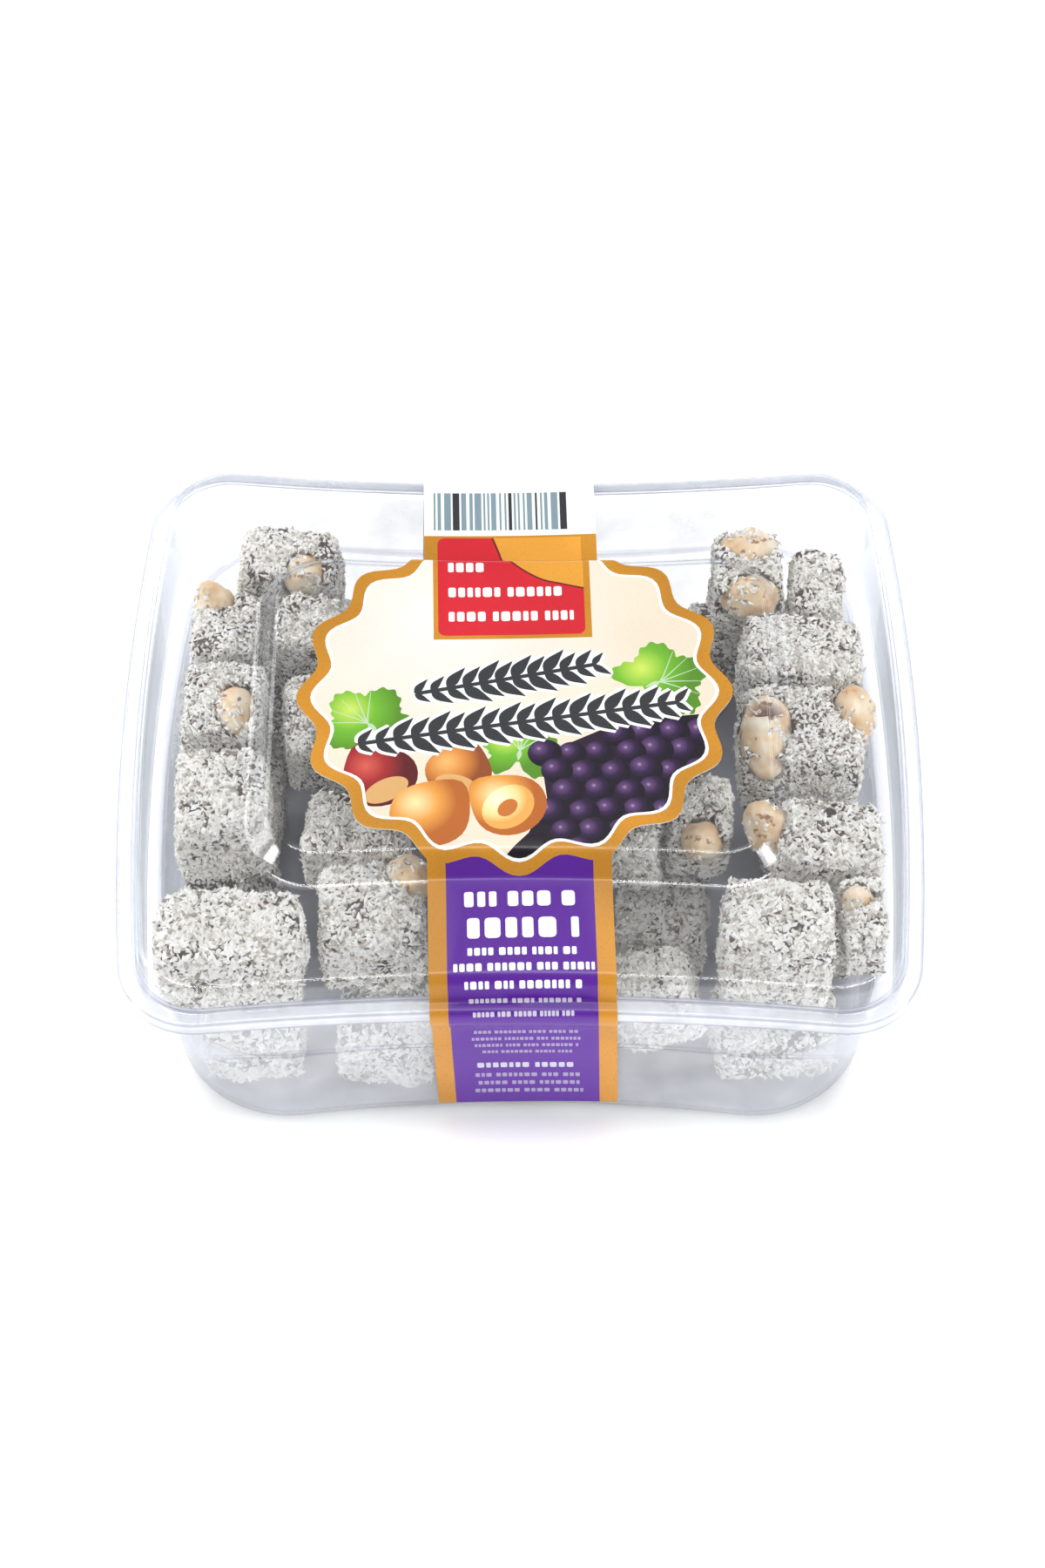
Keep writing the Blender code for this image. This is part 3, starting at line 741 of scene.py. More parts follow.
# The label's plaque and the gold collar behind it, in millimetres from the badge's centre.
COLLAR_TOP = 39.9
COLLAR = (-13.5, 12.0, 13.4, COLLAR_TOP)
COLLAR_WING_FOOT = 33.5
PLAQUE = (-12.7, 12.8, 12.3, COLLAR_TOP - 0.5)
PLAQUE_CORNER = 1.3
PLAQUE_CURVE = [
    (-3.1, COLLAR_TOP - 0.5),
    (-2.0, 35.8),
    (-0.9, 31.6),
    (0.6, 28.6),
    (4.8, 25.3),
    (8.6, 24.0),
    (12.3, 22.9),
]

# Rows of tiles on the plaque: height and right end.
PLAQUE_ROWS = [(28.0, -3.4), (22.4, 9.6), (17.0, 10.4)]
PLAQUE_ROW_LEFT = -10.9
PLAQUE_TILE = 2.1

# The field of bars behind the plaque: its ends, its foot and top, and the widths and gaps to draw from.
BARS = (-13.3, 41.2, 9.6, 49.9)
BAR_WIDTHS = (0.35, 0.35, 0.6, 0.9, 1.2)
BAR_GAPS = (0.3, 0.35, 0.55)
DARK_BARS = 0.22

# Rows of tiles on the purple band, down to the foot of the wall: height, half width, tile height and ink.
BAND_ROWS = [
    (-41.1, 9.4, 3.0, "white"),
    (-46.8, 9.0, 4.0, "white"),
    (-51.4, 9.0, 1.5, "white"),
    (-54.4, 11.3, 1.5, "white"),
    (-57.5, 9.6, 1.5, "white"),
    (-61.0, 9.0, 1.2, "pale"),
    (-63.6, 8.4, 0.9, "pale"),
    (-73.8, 8.6, 0.9, "mauve"),
    (-75.9, 9.0, 0.9, "mauve"),
    (-77.9, 8.6, 0.9, "mauve"),
    (-80.0, 7.4, 0.9, "mauve"),
    (-84.7, 8.4, 1.7, "pale"),
    (-88.2, 8.8, 1.3, "mauve"),
    (-91.0, 8.4, 1.3, "mauve"),
    (-93.8, 9.0, 1.3, "mauve"),
]
BAND_ROW_MIDDLE = 0.3

# The purple band's end under the badge, and the number of the fold at the flange's edge.
PURPLE_END = -30
FLANGE_FOLD = 5


def print_fields(drape):
    """Every field of print: ink, outline, centre and size of its own shading, and the field that clips it."""
    front = LABEL_END_TRIM - drape.lengths[-1] - LABEL_CENTRE.y
    back = drape.lengths[-1] - LABEL_END_TRIM - LABEL_CENTRE.y
    flange_back = drape.lengths[FLANGE_FOLD] - LABEL_CENTRE.y
    draw = random.Random(sizes().seed)
    fields = []

    def add(ink, outline, centre=(0.0, 0.0), size=30.0, within=None):
        fields.append((ink, outline, centre, size, within))
        return len(fields) - 1

    add("gold", slab(-BAND_HALF_WIDTH, front, BAND_HALF_WIDTH, back))
    add("purple", slab(-PURPLE_HALF_WIDTH, front, PURPLE_HALF_WIDTH, PURPLE_END))
    add("purple", slab(-PURPLE_HALF_WIDTH, flange_back, PURPLE_HALF_WIDTH, back))
    add("gold", scallops(BADGE_RADIUS, SCALLOP_HEIGHT))
    add("white", scallops(BADGE_KEYLINE, SCALLOP_HEIGHT))
    cream = add("cream", scallops(BADGE_FIELD, SCALLOP_HEIGHT), (0.0, 4.0), 34.0)
    art_fields(lambda *field: add(*field, within=cream), draw)
    # Gold collar, red plaque with a curved gold corner, and the pale field of bars behind them.
    add("gold", slab(*COLLAR))
    add("gold", slab(-BAND_HALF_WIDTH, COLLAR_WING_FOOT, BAND_HALF_WIDTH, COLLAR_TOP))
    add("red", soft_slab(*PLAQUE, PLAQUE_CORNER))
    add("gold_light", [tuple(point) for point in smooth_line(PLAQUE_CURVE)] + [(PLAQUE[2], PLAQUE[3])])
    add("maroon", stroke(PLAQUE_CURVE, [0.18] * len(PLAQUE_CURVE)))
    for y, right in PLAQUE_ROWS:
        for shape in blocks(y, PLAQUE_ROW_LEFT, right, PLAQUE_TILE, draw):
            add("white", shape)
    add("white", slab(-BAND_HALF_WIDTH, COLLAR_TOP, BAND_HALF_WIDTH, flange_back))
    x, foot, right, top = BARS
    while x < right:
        wide = draw.choice(BAR_WIDTHS)
        add("ink" if draw.random() < DARK_BARS else "bars", slab(x, foot, x + wide, top))
        x += wide + draw.choice(BAR_GAPS)
    for y, half, tall, ink in BAND_ROWS:
        for shape in blocks(y, BAND_ROW_MIDDLE - half, BAND_ROW_MIDDLE + half, tall, draw):
            add(ink, shape)
    return fields


# The badge's picture: leaves as place, size and turn, nuts with their ink as well, and the garlands' ends.
LEAVES = [(-24.6, -5.6, 8.2, 2.3), (24.4, 2.0, 8.6, 0.4), (0.6, -12.0, 6.8, 1.4), (28.6, -9.6, 4.4, -0.4)]
NUTS = [
    (-22.6, -16.6, 6.4, 0.5, "shell_red"),
    (-9.6, -16.0, 5.6, -0.3, "shell"),
    (-1.4, -23.2, 6.4, 0.9, "nut"),
    (-14.4, -24.6, 6.8, -0.7, "nut"),
]
GARLANDS = [((-16.6, 0.4), (13.4, 6.0)), ((-26.0, -9.8), (27.0, -2.4))]
# A garland's leaves: the way from pair to pair, their length, and the width of the white edge round them.
GARLAND_STEP = 2.9
GARLAND_LEAF = 8.4
GARLAND_EDGE = 0.6
# Turns of a vine leaf's veins from its middle one.
VEIN_TURNS = (-0.8, -0.4, 0.0, 0.4, 0.8)

# Left edge of the hanging bunch; its right edge is the badge's own.
BUNCH_EDGE = [
    (-3.0, -34.0),
    (1.6, -29.0),
    (4.8, -22.0),
    (4.2, -15.5),
    (8.0, -11.0),
    (15.0, -7.5),
    (24.0, -5.5),
]
# Its grapes, counted from the upper right: the first one's place, the way to the next in the row and to the
# next row, how far each row starts further left, how far a grape strays, and its least and greatest radius.
GRAPE_ROWS = 7
GRAPE_COLUMNS = 8
GRAPE_RIGHT = 31.0
GRAPE_TOP = -8.6
GRAPE_PITCH = 4.7
GRAPE_ROW_PITCH = 4.0
GRAPE_ROW_LEAN = 0.4
GRAPE_STRAY = 0.45
GRAPE_RADII = (2.45, 2.95)
# No grape stands above a slope, given by its height at the right and its fall, or left of a leaning edge.
GRAPE_SLOPE = (-4.4, 0.24)
GRAPE_LEFT = (4.5, 0.12)


def art_fields(add, draw):
    """The picture of the badge in plain shapes: leaves, a hanging bunch, nuts and two laurel garlands."""
    for x, y, size, turn in LEAVES:
        add("leaf", leaf_outline(x, y, size, turn), (x, y), size)
        for spread in VEIN_TURNS:
            tip = (x + size * 0.8 * math.cos(turn + spread), y + size * 0.8 * math.sin(turn + spread))
            foot = (x - size * 0.3 * math.cos(turn), y - size * 0.3 * math.sin(turn))
            add("vein", stroke([foot, (x, y), tip], [0.12, 0.14, 0.05], 4))
    edge = BADGE_FIELD + SCALLOP_HEIGHT
    angles = [math.radians(degrees) for degrees in range(-8, -94, -6)]
    shade = BUNCH_EDGE + [(edge * math.cos(angle), edge * math.sin(angle)) for angle in angles]
    add("grape_dark", shade, (14.0, -20.0), 18.0)
    # Grapes in rows, every other row shifted by half a grape.
    height, fall = GRAPE_SLOPE
    left, lean = GRAPE_LEFT
    for row in range(GRAPE_ROWS):
        y = GRAPE_TOP - GRAPE_ROW_PITCH * row
        for column in range(GRAPE_COLUMNS - row // 2):
            x = GRAPE_RIGHT - GRAPE_PITCH * column - GRAPE_PITCH / 2 * (row % 2) - GRAPE_ROW_LEAN * row
            if y < height - fall * (GRAPE_RIGHT - x) and x > left + lean * row:
                stray = [draw.uniform(-GRAPE_STRAY, GRAPE_STRAY) for _ in range(2)]
                spot = (x + stray[0], y + stray[1])
                size = draw.uniform(*GRAPE_RADII)
                add("grape", disc(*spot, size), spot, size)
    for x, y, size, turn, ink in NUTS:
        add(ink, disc(x, y, size, 0.94, turn, 0.28), (x, y), size)
        if ink != "nut":
            spot = (x + 0.35 * size * math.sin(turn), y - 0.5 * size * math.cos(turn))
            add("shell_cap", disc(*spot, size * 0.62, 0.55, turn), (x, y), size)
    add("nut_face", disc(-1.6, -23.6, 4.9, 0.8, 0.9), (-1.6, -23.6), 4.9)
    add("nut_core", disc(-1.7, -23.8, 2.0, 0.7, 0.9), (-1.7, -23.8), 2.0)
    for ink, grow in (("white", GARLAND_EDGE), ("ink", 0.0)):
        for line in GARLANDS:
            for shape in garland(*line, GARLAND_STEP, GARLAND_LEAF, grow):
                add(ink, shape)


def cut_fields(fields, folds):
    """One flat mesh of all fields: its points, its triangles and the number of the field on each."""
    points, edges, faces = [], [], []
    for _, outline, _, _, _ in fields:
        start = len(points)
        area = sum(a[0] * b[1] - b[0] * a[1] for a, b in zip(outline, outline[1:] + outline[:1]))
        outline = outline if area > 0 else outline[::-1]
        points += [Vector(p) for p in outline]
        faces.append(list(range(start, len(points))))
    for (ax, ay), (bx, by) in folds:
        edges.append((len(points), len(points) + 1))
        points += [Vector((ax, ay)), Vector((bx, by))]
    found = delaunay_2d_cdt(points, edges, faces, 1, 1e-5, True)
    shown = []
    for triangle, origin in zip(found[2], found[5]):
        able = [number for number in origin if fields[number][4] is None or fields[number][4] in origin]
        if able:
            shown.append((triangle, max(able)))
    return found[0], shown


def fold_lines(drape, fold):
    """Cut lines across the label at each fold and beside it, and along it."""
    lines = []
    for side in (-1, 1):
        for reach in drape.lengths:
            for step in FOLD_STEPS:
                y = side * (reach + step * fold)
                lines.append((on_label(-CUT_HALF_WIDTH, y), on_label(CUT_HALF_WIDTH, y)))
    for x in CUTS_ALONG:
        lines.append(((x, -CUT_HALF_LENGTH), (x, CUT_HALF_LENGTH)))
    return lines


def ink_material(name, stops, roughness=0.34, drift=0.03):
    """Offset ink on coated paper: flat, with a soft gradient round each motif and a faint uneven gloss."""
    material, tree = new_material(name)
    # The printed shapes are shaded as if lit from the upper left, so their gradients start there.
    motif = node(tree, "ShaderNodeUVMap", uv_map="motif")
    shifted = node(tree, "ShaderNodeVectorMath", {0: motif, 1: (-0.35, 0.35, 0.0)}, operation="SUBTRACT")
    distance = node(tree, "ShaderNodeVectorMath", {0: shifted}, operation="LENGTH").outputs["Value"]
    base = node(tree, "ShaderNodeValToRGB", {0: distance}, stops)
    place = node(tree, "ShaderNodeTexCoord").outputs["Object"]
    # Ink lies a little unevenly on paper: specks of about 0.4 mm, and drifts of about 20 mm over the sheet.
    speck = node(tree, "ShaderNodeTexNoise", {"Vector": place, "Scale": 1 / (0.4 * MM), "Detail": 2.0})
    grain = node(tree, "ShaderNodeMapRange", {0: speck, 1: 0.3, 2: 0.7, 3: 0.98, 4: 1.02})
    wide = node(tree, "ShaderNodeTexNoise", {"Vector": place, "Scale": 1 / (20 * MM), "Detail": 1.0})
    sweep = node(tree, "ShaderNodeMapRange", {0: wide, 1: 0.35, 2: 0.65, 3: 1 - drift, 4: 1 + drift})
    depth = node(tree, "ShaderNodeMath", {0: grain, 1: sweep}, operation="MULTIPLY")
    tone = node(tree, "ShaderNodeVectorMath", {0: base, 3: depth}, operation="SCALE")
    gloss = {0: speck, 1: 0.3, 2: 0.7, 3: roughness - 0.04, 4: roughness + 0.04}
    gloss = node(tree, "ShaderNodeMapRange", gloss)
    look = {"Base Color": tone, "Roughness": gloss, "IOR": 1.5, "Specular IOR Level": 0.35}
    node(tree, "ShaderNodeOutputMaterial", {"Surface": node(tree, "ShaderNodeBsdfPrincipled", look)})
    return material


def ink_materials():
    """The label's inks by name."""
    c = colours()
    gold, purple, white = tuple(c.gold), tuple(c.purple), tuple(c.white)
    flat = {
        "purple": purple,
        "white": white,
        "red": tuple(c.red),
        "ink": tuple(c.ink),
        "bars": tuple(c.bars),
        "pale": mixed(purple, white, 0.6),
        "mauve": mixed(purple, white, 0.32),
        "vein": mixed(tuple(c.leaf), white, 0.45),
        "maroon": linear("#6E1216"),
        "shell_cap": linear("#D9A86A"),
        "nut_core": linear("#C4702A"),
    }
    made = {}
    for name, shade in flat.items():
        stops = [(0.0, scaled(shade, 1.03)), (1.0, scaled(shade, 0.97))]
        made[name] = ink_material(f"label_{name}_ink", stops)
    for name, shade in (("gold", gold), ("gold_light", mixed(gold, linear("#F2A93C"), 0.6))):
        stops = [(0.0, shade), (1.0, shade)]
        made[name] = ink_material(f"label_{name}_ink", stops, roughness=0.3, drift=0.12)
    cream, leaf, grape, nut = tuple(c.cream), tuple(c.leaf), tuple(c.grape), tuple(c.nut)
    bloom, skin = linear("#9C8AB2"), linear("#5F4070")
    shaded = {
        "cream": [(0.0, linear("#EBE8E2")), (0.45, linear("#E9E1D5")), (1.0, cream)],
        "leaf": [(0.0, linear("#C7E05A")), (0.5, leaf), (1.0, scaled(leaf, 0.55))],
        "grape": [(0.0, bloom), (0.16, skin), (0.6, grape), (1.0, scaled(grape, 0.25))],
        "grape_dark": [(0.0, linear("#2C1434")), (1.0, linear("#160A1C"))],
        "nut": [(0.0, linear("#FBE0A6")), (0.55, nut), (1.0, linear("#B5611E"))],
        "nut_face": [(0.0, linear("#FFF3CF")), (0.7, linear("#F7D48C")), (1.0, linear("#E3A550"))],
        "shell": [(0.0, linear("#F0B468")), (0.6, linear("#CE7E30")), (1.0, linear("#8F481B"))],
        "shell_red": [(0.0, linear("#D4584A")), (0.5, linear("#A32224")), (1.0, linear("#5C1018"))],
    }
    for name, stops in shaded.items():
        made[name] = ink_material(f"label_{name}_ink", stops)
    return made


def paper_material():
    """Uncoated back of the label paper: matt white with faint fibres, seen through the plastic."""
    material, tree = new_material("label_paper_back")
    place = node(tree, "ShaderNodeTexCoord").outputs["Object"]
    fibres = node(tree, "ShaderNodeTexNoise", {"Vector": place, "Scale": 1 / (0.8 * MM), "Detail": 4.0})
    stops = [(0.3, linear("#E9E6DF")), (0.7, linear("#F6F4EF"))]
    look = {"Base Color": node(tree, "ShaderNodeValToRGB", {0: fibres}, stops), "Roughness": 0.8, "IOR": 1.5}
    node(tree, "ShaderNodeOutputMaterial", {"Surface": node(tree, "ShaderNodeBsdfPrincipled", look)})
    return material


class LOKUMBOX_OT_label(bpy.types.Operator):
    """Builds the printed label band with its scalloped badge"""

    bl_idname = "lokum_box.label"
    bl_label = "Label"

    def execute(self, context):
        drape, fold = Drape(), sizes().fold / MM
        fields = print_fields(drape)
        corners, shown = cut_fields(fields, fold_lines(drape, fold))
        inks = ink_materials()
        names = sorted({fields[number][0] for _, number in shown})
        mesh = bpy.data.meshes.new("printed_label")
        places = [drape.place(corner, fold) * MM for corner in corners]
        mesh.from_pydata(places, [], [triangle for triangle, _ in shown])
        for name in names:
            mesh.materials.append(inks[name])
        mesh.materials.append(paper_material())
        motif = mesh.uv_layers.new(name="motif")
        for polygon, (triangle, number) in zip(mesh.polygons, shown):
            ink, _, centre, size, _ = fields[number]
            polygon.material_index = names.index(ink)
            for loop in polygon.loop_indices:
                corner = corners[mesh.loops[loop].vertex_index]
                motif.data[loop].uv = ((corner.x - centre[0]) / size, (corner.y - centre[1]) / size)
        label = bpy.data.objects.new("printed_label", mesh)
        context.scene.collection.objects.link(label)
        take(label)
        bpy.ops.object.mode_set(mode="EDIT")
        bpy.ops.mesh.select_all(action="SELECT")
        bpy.ops.mesh.delete_loose()
        bpy.ops.mesh.select_all(action="SELECT")
        bpy.ops.mesh.normals_make_consistent(inside=False)
        edit = bmesh.from_edit_mesh(mesh)
        if sum(face.normal.z * face.calc_area() for face in edit.faces) < 0:
            bpy.ops.mesh.flip_normals()
        bpy.ops.object.mode_set(mode="OBJECT")
        # The inks are on top; the back and the cut edge have the last material, the bare paper.
        settings = {"offset": 1.0, "material_offset": 99, "material_offset_rim": 99}
        finish_with(label, "SOLIDIFY", thickness=sizes().paper, **settings)
        smooth_by_angle(label, 40)
        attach(label, "root")
        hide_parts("label")
        return {"FINISHED"}


# The food.


def copy_of(cad_node, name):
    """A copy of a frame node's mesh as an object of its own, its loose triangles merged."""
    mesh = frame["nodes"][cad_node].data.copy()
    mesh.materials.clear()
    obj = bpy.data.objects.new(name, mesh)
    bpy.context.scene.collection.objects.link(obj)
    take(obj)
    bpy.ops.object.mode_set(mode="EDIT")
    bpy.ops.mesh.select_all(action="SELECT")
    bpy.ops.mesh.remove_doubles(threshold=0.01 * MM)
    bpy.ops.object.mode_set(mode="OBJECT")
    return obj


def jelly_material():
    """Grape molasses jelly cut in cubes: near black, wine red where it is bare, dusted with fine coconut."""
    material, tree = new_material("grape_jelly_dusted")
    place = node(tree, "ShaderNodeTexCoord").outputs["Object"]
    depth = node(tree, "ShaderNodeTexNoise", {"Vector": place, "Scale": 1 / (5 * MM), "Detail": 3.0})
    stops = [(0.35, tuple(colours().jelly)), (0.65, linear("#4C2424")), (0.85, linear("#74483A"))]
    jelly = node(tree, "ShaderNodeValToRGB", {0: depth}, stops)
    # Dust of ground coconut: grains of about 0.5 mm, in drifts of a few millimetres.
    grains = node(tree, "ShaderNodeTexNoise", {"Vector": place, "Scale": 1 / (0.55 * MM), "Detail": 3.0})
    drifts = node(tree, "ShaderNodeTexNoise", {"Vector": place, "Scale": 1 / (6 * MM), "Detail": 1.0})
    both = node(tree, "ShaderNodeMath", {0: grains, 1: drifts}, operation="ADD")
    cover = node(tree, "ShaderNodeMapRange", {0: both, 1: 0.94, 2: 1.08, 3: 0.0, 4: 0.9})
    dust = {0: cover, 6: jelly, 7: (*linear("#CFCAC2"), 1.0)}
    dust = node(tree, "ShaderNodeMix", dust, data_type="RGBA").outputs[2]
    rough = node(tree, "ShaderNodeMapRange", {0: cover, 3: 0.35, 4: 0.8})
    bump = node(tree, "ShaderNodeBump", {"Height": grains, "Strength": 0.6, "Distance": 0.3 * MM})
    look = {"Base Color": dust, "Roughness": rough, "Normal": bump, "IOR": 1.45}
    node(tree, "ShaderNodeOutputMaterial", {"Surface": node(tree, "ShaderNodeBsdfPrincipled", look)})
    return material


def coconut_material():
    """Desiccated coconut: matt, milky crumbs, each a little lighter, greyer or more toasted than the next."""
    material, tree = new_material("desiccated_coconut")
    shade = node(tree, "ShaderNodeAttribute", attribute_name="shade").outputs["Fac"]
    stops = [(0.0, linear("#8A8076")), (0.1, linear("#C6BFB4")), (0.3, linear("#EBE8E1"))]
    tone = node(tree, "ShaderNodeValToRGB", {0: shade}, [*stops, (1.0, tuple(colours().coconut))])
    look = {"Base Color": tone, "Roughness": 0.6, "IOR": 1.45}
    node(tree, "ShaderNodeOutputMaterial", {"Surface": node(tree, "ShaderNodeBsdfPrincipled", look)})
    return material


def crumb_templates(material):
    """Twelve crumbs about one unit wide: lumps and chips from five-sided cones, and two long shreds."""
    shapes = bpy.data.collections.new("crumb_templates")
    bpy.context.scene.collection.children.link(shapes)
    draw = random.Random(sizes().seed)
    for number, form in enumerate(CRUMB_FORMS):
        deselect()
        bpy.ops.mesh.primitive_cone_add(vertices=5, radius1=0.5, radius2=0.0, depth=0.8, location=(0, 0, 0.2))
        crumb = bpy.context.object
        crumb.name = crumb.data.name = f"crumb_{number:02d}"
        bpy.ops.object.transform_apply(location=True)
        for vert in crumb.data.vertices:
            stray = Vector([draw.uniform(-CRUMB_STRAY, CRUMB_STRAY) for _ in range(3)])
            vert.co = (vert.co + stray) * Vector(form)
        crumb.data.materials.append(material)
        for collection in list(crumb.users_collection):
            collection.objects.unlink(crumb)
        shapes.objects.link(crumb)
    return shapes


def scatter_nodes(shapes, density, crumb, seed, patchy):
    """Geometry nodes that strew crumbs over a surface and leave only them, each turned, sized and shaded."""
    tree = bpy.data.node_groups.new("strew_coconut", "GeometryNodeTree")
    tree.interface.new_socket("Geometry", in_out="INPUT", socket_type="NodeSocketGeometry")
    tree.interface.new_socket("Geometry", in_out="OUTPUT", socket_type="NodeSocketGeometry")
    surface = node(tree, "NodeGroupInput")
    # Thinner in patches of about 6 mm, and on faces that look down.
    place = node(tree, "GeometryNodeInputPosition")
    patches = node(tree, "ShaderNodeTexNoise", {"Vector": place, "Scale": 1 / (6 * MM), "Detail": 2.0})
    low, high, thinnest = patchy
    patch = node(tree, "ShaderNodeMapRange", {0: patches, 1: low, 2: high, 3: thinnest, 4: 1.0})
    normal = node(tree, "GeometryNodeInputNormal")
    rise = node(tree, "ShaderNodeSeparateXYZ", {0: normal}).outputs["Z"]
    top = node(tree, "ShaderNodeMapRange", {0: rise, 1: -0.7, 2: 0.0, 3: 0.12, 4: 1.0})
    share = node(tree, "ShaderNodeMath", {0: patch, 1: top}, operation="MULTIPLY")
    density = node(tree, "ShaderNodeMath", {0: share, 1: density}, operation="MULTIPLY")
    links = {"Mesh": surface, "Density": density, "Seed": seed}
    spread = node(tree, "GeometryNodeDistributePointsOnFaces", links)
    # A crumb leans up to 34 degrees and turns freely.
    links = {0: (-0.6, -0.6, -math.pi), 1: (0.6, 0.6, math.pi), "Seed": seed + 1}
    turn = node(tree, "FunctionNodeRandomValue", links, data_type="FLOAT_VECTOR")
    local = node(tree, "FunctionNodeEulerToRotation", {0: turn})
    links = {"Rotation": spread.outputs["Rotation"], "Rotate By": local}
    rotation = node(tree, "FunctionNodeRotateRotation", links, rotation_space="LOCAL")
    least, greatest = CRUMB_SIZES
    links = {0: (least * crumb,) * 3, 1: (greatest * crumb,) * 3, "Seed": seed + 2}
    size = node(tree, "FunctionNodeRandomValue", links, data_type="FLOAT_VECTOR")
    links = {"Collection": shapes, "Separate Children": True, "Reset Children": True}
    links = {
        "Points": spread.outputs["Points"],
        "Instance": node(tree, "GeometryNodeCollectionInfo", links),
        "Pick Instance": True,
        "Rotation": rotation,
        "Scale": size,
    }
    strewn = node(tree, "GeometryNodeInstanceOnPoints", links)
    links = {2: 0.0, 3: 1.0, "Seed": seed + 3}
    shade = node(tree, "FunctionNodeRandomValue", links, data_type="FLOAT").outputs[1]
    links = {"Geometry": strewn, "Name": "shade", "Value": shade}
    marked = node(tree, "GeometryNodeStoreNamedAttribute", links, data_type="FLOAT", domain="INSTANCE")
    node(tree, "NodeGroupOutput", {0: node(tree, "GeometryNodeRealizeInstances", {"Geometry": marked})})
    return tree


def strew(name, bodies, shapes, cover, seed, patchy=JELLY_PATCHES):
    """One piece of coconut crumbs over a group of bodies."""
    deselect()
    for body in bodies:
        copy = bpy.data.objects.new(name, body.data.copy())
        bpy.context.scene.collection.objects.link(copy)
        copy.select_set(True)
        bpy.context.view_layer.objects.active = copy
    if len(bodies) > 1:
        bpy.ops.object.join()
    coat = bpy.context.view_layer.objects.active
    crumb = sizes().crumb * (COARSE_CRUMBS if "front" in name else 1.0)
    finish_with(coat, "NODES", node_group=scatter_nodes(shapes, cover / MM**2, crumb, seed, patchy))
    coat.name = coat.data.name = name
    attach(coat, "root")
    return coat


class LOKUMBOX_OT_jelly(bpy.types.Operator):
    """Builds the jelly cubes from their solids, with uneven skins"""

    bl_idname = "lokum_box.jelly"
    bl_label = "Jelly cubes"

    def execute(self, context):
        material = jelly_material()
        lumps = []
        for name, width, height in JELLY_LUMPS:
            texture = bpy.data.textures.new(name, "CLOUDS")
            texture.noise_scale = width * MM
            lumps.append({"texture": texture, "texture_coords": "GLOBAL", "strength": height * MM})
        for cad_node in sorted(frame["nodes"]):
            if not cad_node.startswith("lokum_"):
                continue
            cube = copy_of(cad_node, cad_node.replace("lokum", "jelly"))
            finish_with(cube, "REMESH", mode="VOXEL", voxel_size=sizes().voxel)
            finish_with(cube, "SMOOTH", factor=0.5, iterations=1)
            for lump in lumps:
                finish_with(cube, "DISPLACE", mid_level=0.6, **lump)
            cube.data.materials.append(material)
            smooth_by_angle(cube, 180)
            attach(cube, "root")
            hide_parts(cad_node)
        return {"FINISHED"}


class LOKUMBOX_OT_coconut(bpy.types.Operator):
    """Strews coconut crumbs over the cubes and thinly over the kernels"""

    bl_idname = "lokum_box.coconut"
    bl_label = "Coconut coat"

    def execute(self, context):
        shapes = crumb_templates(coconut_material())
        seed = sizes().seed
        layers = [("upper", UPPER_GROUPS, sizes().upper_cover), ("lower", LOWER_GROUPS, sizes().lower_cover)]
        for layer, groups, cover in layers:
            for name, numbers in groups.items():
                bodies = [bpy.data.objects[f"jelly_{layer}_{number:02d}"] for number in numbers]
                seed += 10
                strew(name, bodies, shapes, cover, seed)
        kernels = [piece for piece in bpy.data.objects if piece.name.startswith("kernel_")]
        kernels.sort(key=lambda piece: piece.name)
        strew("coconut_on_kernels", kernels, shapes, KERNEL_COVER, seed + 10, KERNEL_PATCHES)
        for shape in list(shapes.objects):
            bpy.data.objects.remove(shape)
        bpy.data.collections.remove(shapes)
        return {"FINISHED"}


def kernel_material(hollow_at=None):
    """Blanched hazelnut kernel: cream, waxy, with tan patches, fine grooves and red-brown shreds of skin."""
    material, tree = new_material("hazelnut_kernel_hollow" if hollow_at else "hazelnut_kernel")
    place = node(tree, "ShaderNodeTexCoord").outputs["Object"]
    patches = node(tree, "ShaderNodeTexNoise", {"Vector": place, "Scale": 1 / (4.5 * MM), "Detail": 3.0})
    stops = [(0.3, linear("#F9EEDA")), (0.5, tuple(colours().kernel))]
    stops += [(0.66, linear("#E2BB8C")), (0.8, linear("#B98352"))]
    tone = node(tree, "ShaderNodeValToRGB", {0: patches}, stops)
    flecks = node(tree, "ShaderNodeTexNoise", {"Vector": place, "Scale": 1 / (1.8 * MM), "Detail": 4.0})
    skin = node(tree, "ShaderNodeMapRange", {0: flecks, 1: 0.60, 2: 0.68, 3: 0.0, 4: 0.85})
    layers = [(skin, "#7E3F26")]
    if hollow_at:
        # The hollow is a slit, so distances across it count for more than those along it.
        offset = node(tree, "ShaderNodeVectorMath", {0: place, 1: hollow_at}, operation="SUBTRACT")
        offset = node(tree, "ShaderNodeVectorMath", {0: offset, 1: STAIN_FORM}, operation="MULTIPLY")
        away = node(tree, "ShaderNodeVectorMath", {0: offset}, operation="LENGTH").outputs["Value"]
        start, end = STAIN_FADE
        core = node(tree, "ShaderNodeMapRange", {0: away, 1: start * MM, 2: end * MM, 3: 1.0, 4: 0.0})
        layers.append((core, "#6E3A20"))
    for share, code in layers:
        links = {0: share, 6: tone, 7: (*linear(code), 1.0)}
        tone = node(tree, "ShaderNodeMix", links, data_type="RGBA").outputs[2]
    bump = node(tree, "ShaderNodeBump", {"Height": flecks, "Strength": 0.6, "Distance": 0.3 * MM})
    look = {"Base Color": tone, "Roughness": 0.42, "Normal": bump, "IOR": 1.46}
    look |= {"Subsurface Weight": 0.15, "Subsurface Scale": 1.5 * MM}
    node(tree, "ShaderNodeOutputMaterial", {"Surface": node(tree, "ShaderNodeBsdfPrincipled", look)})
    return material


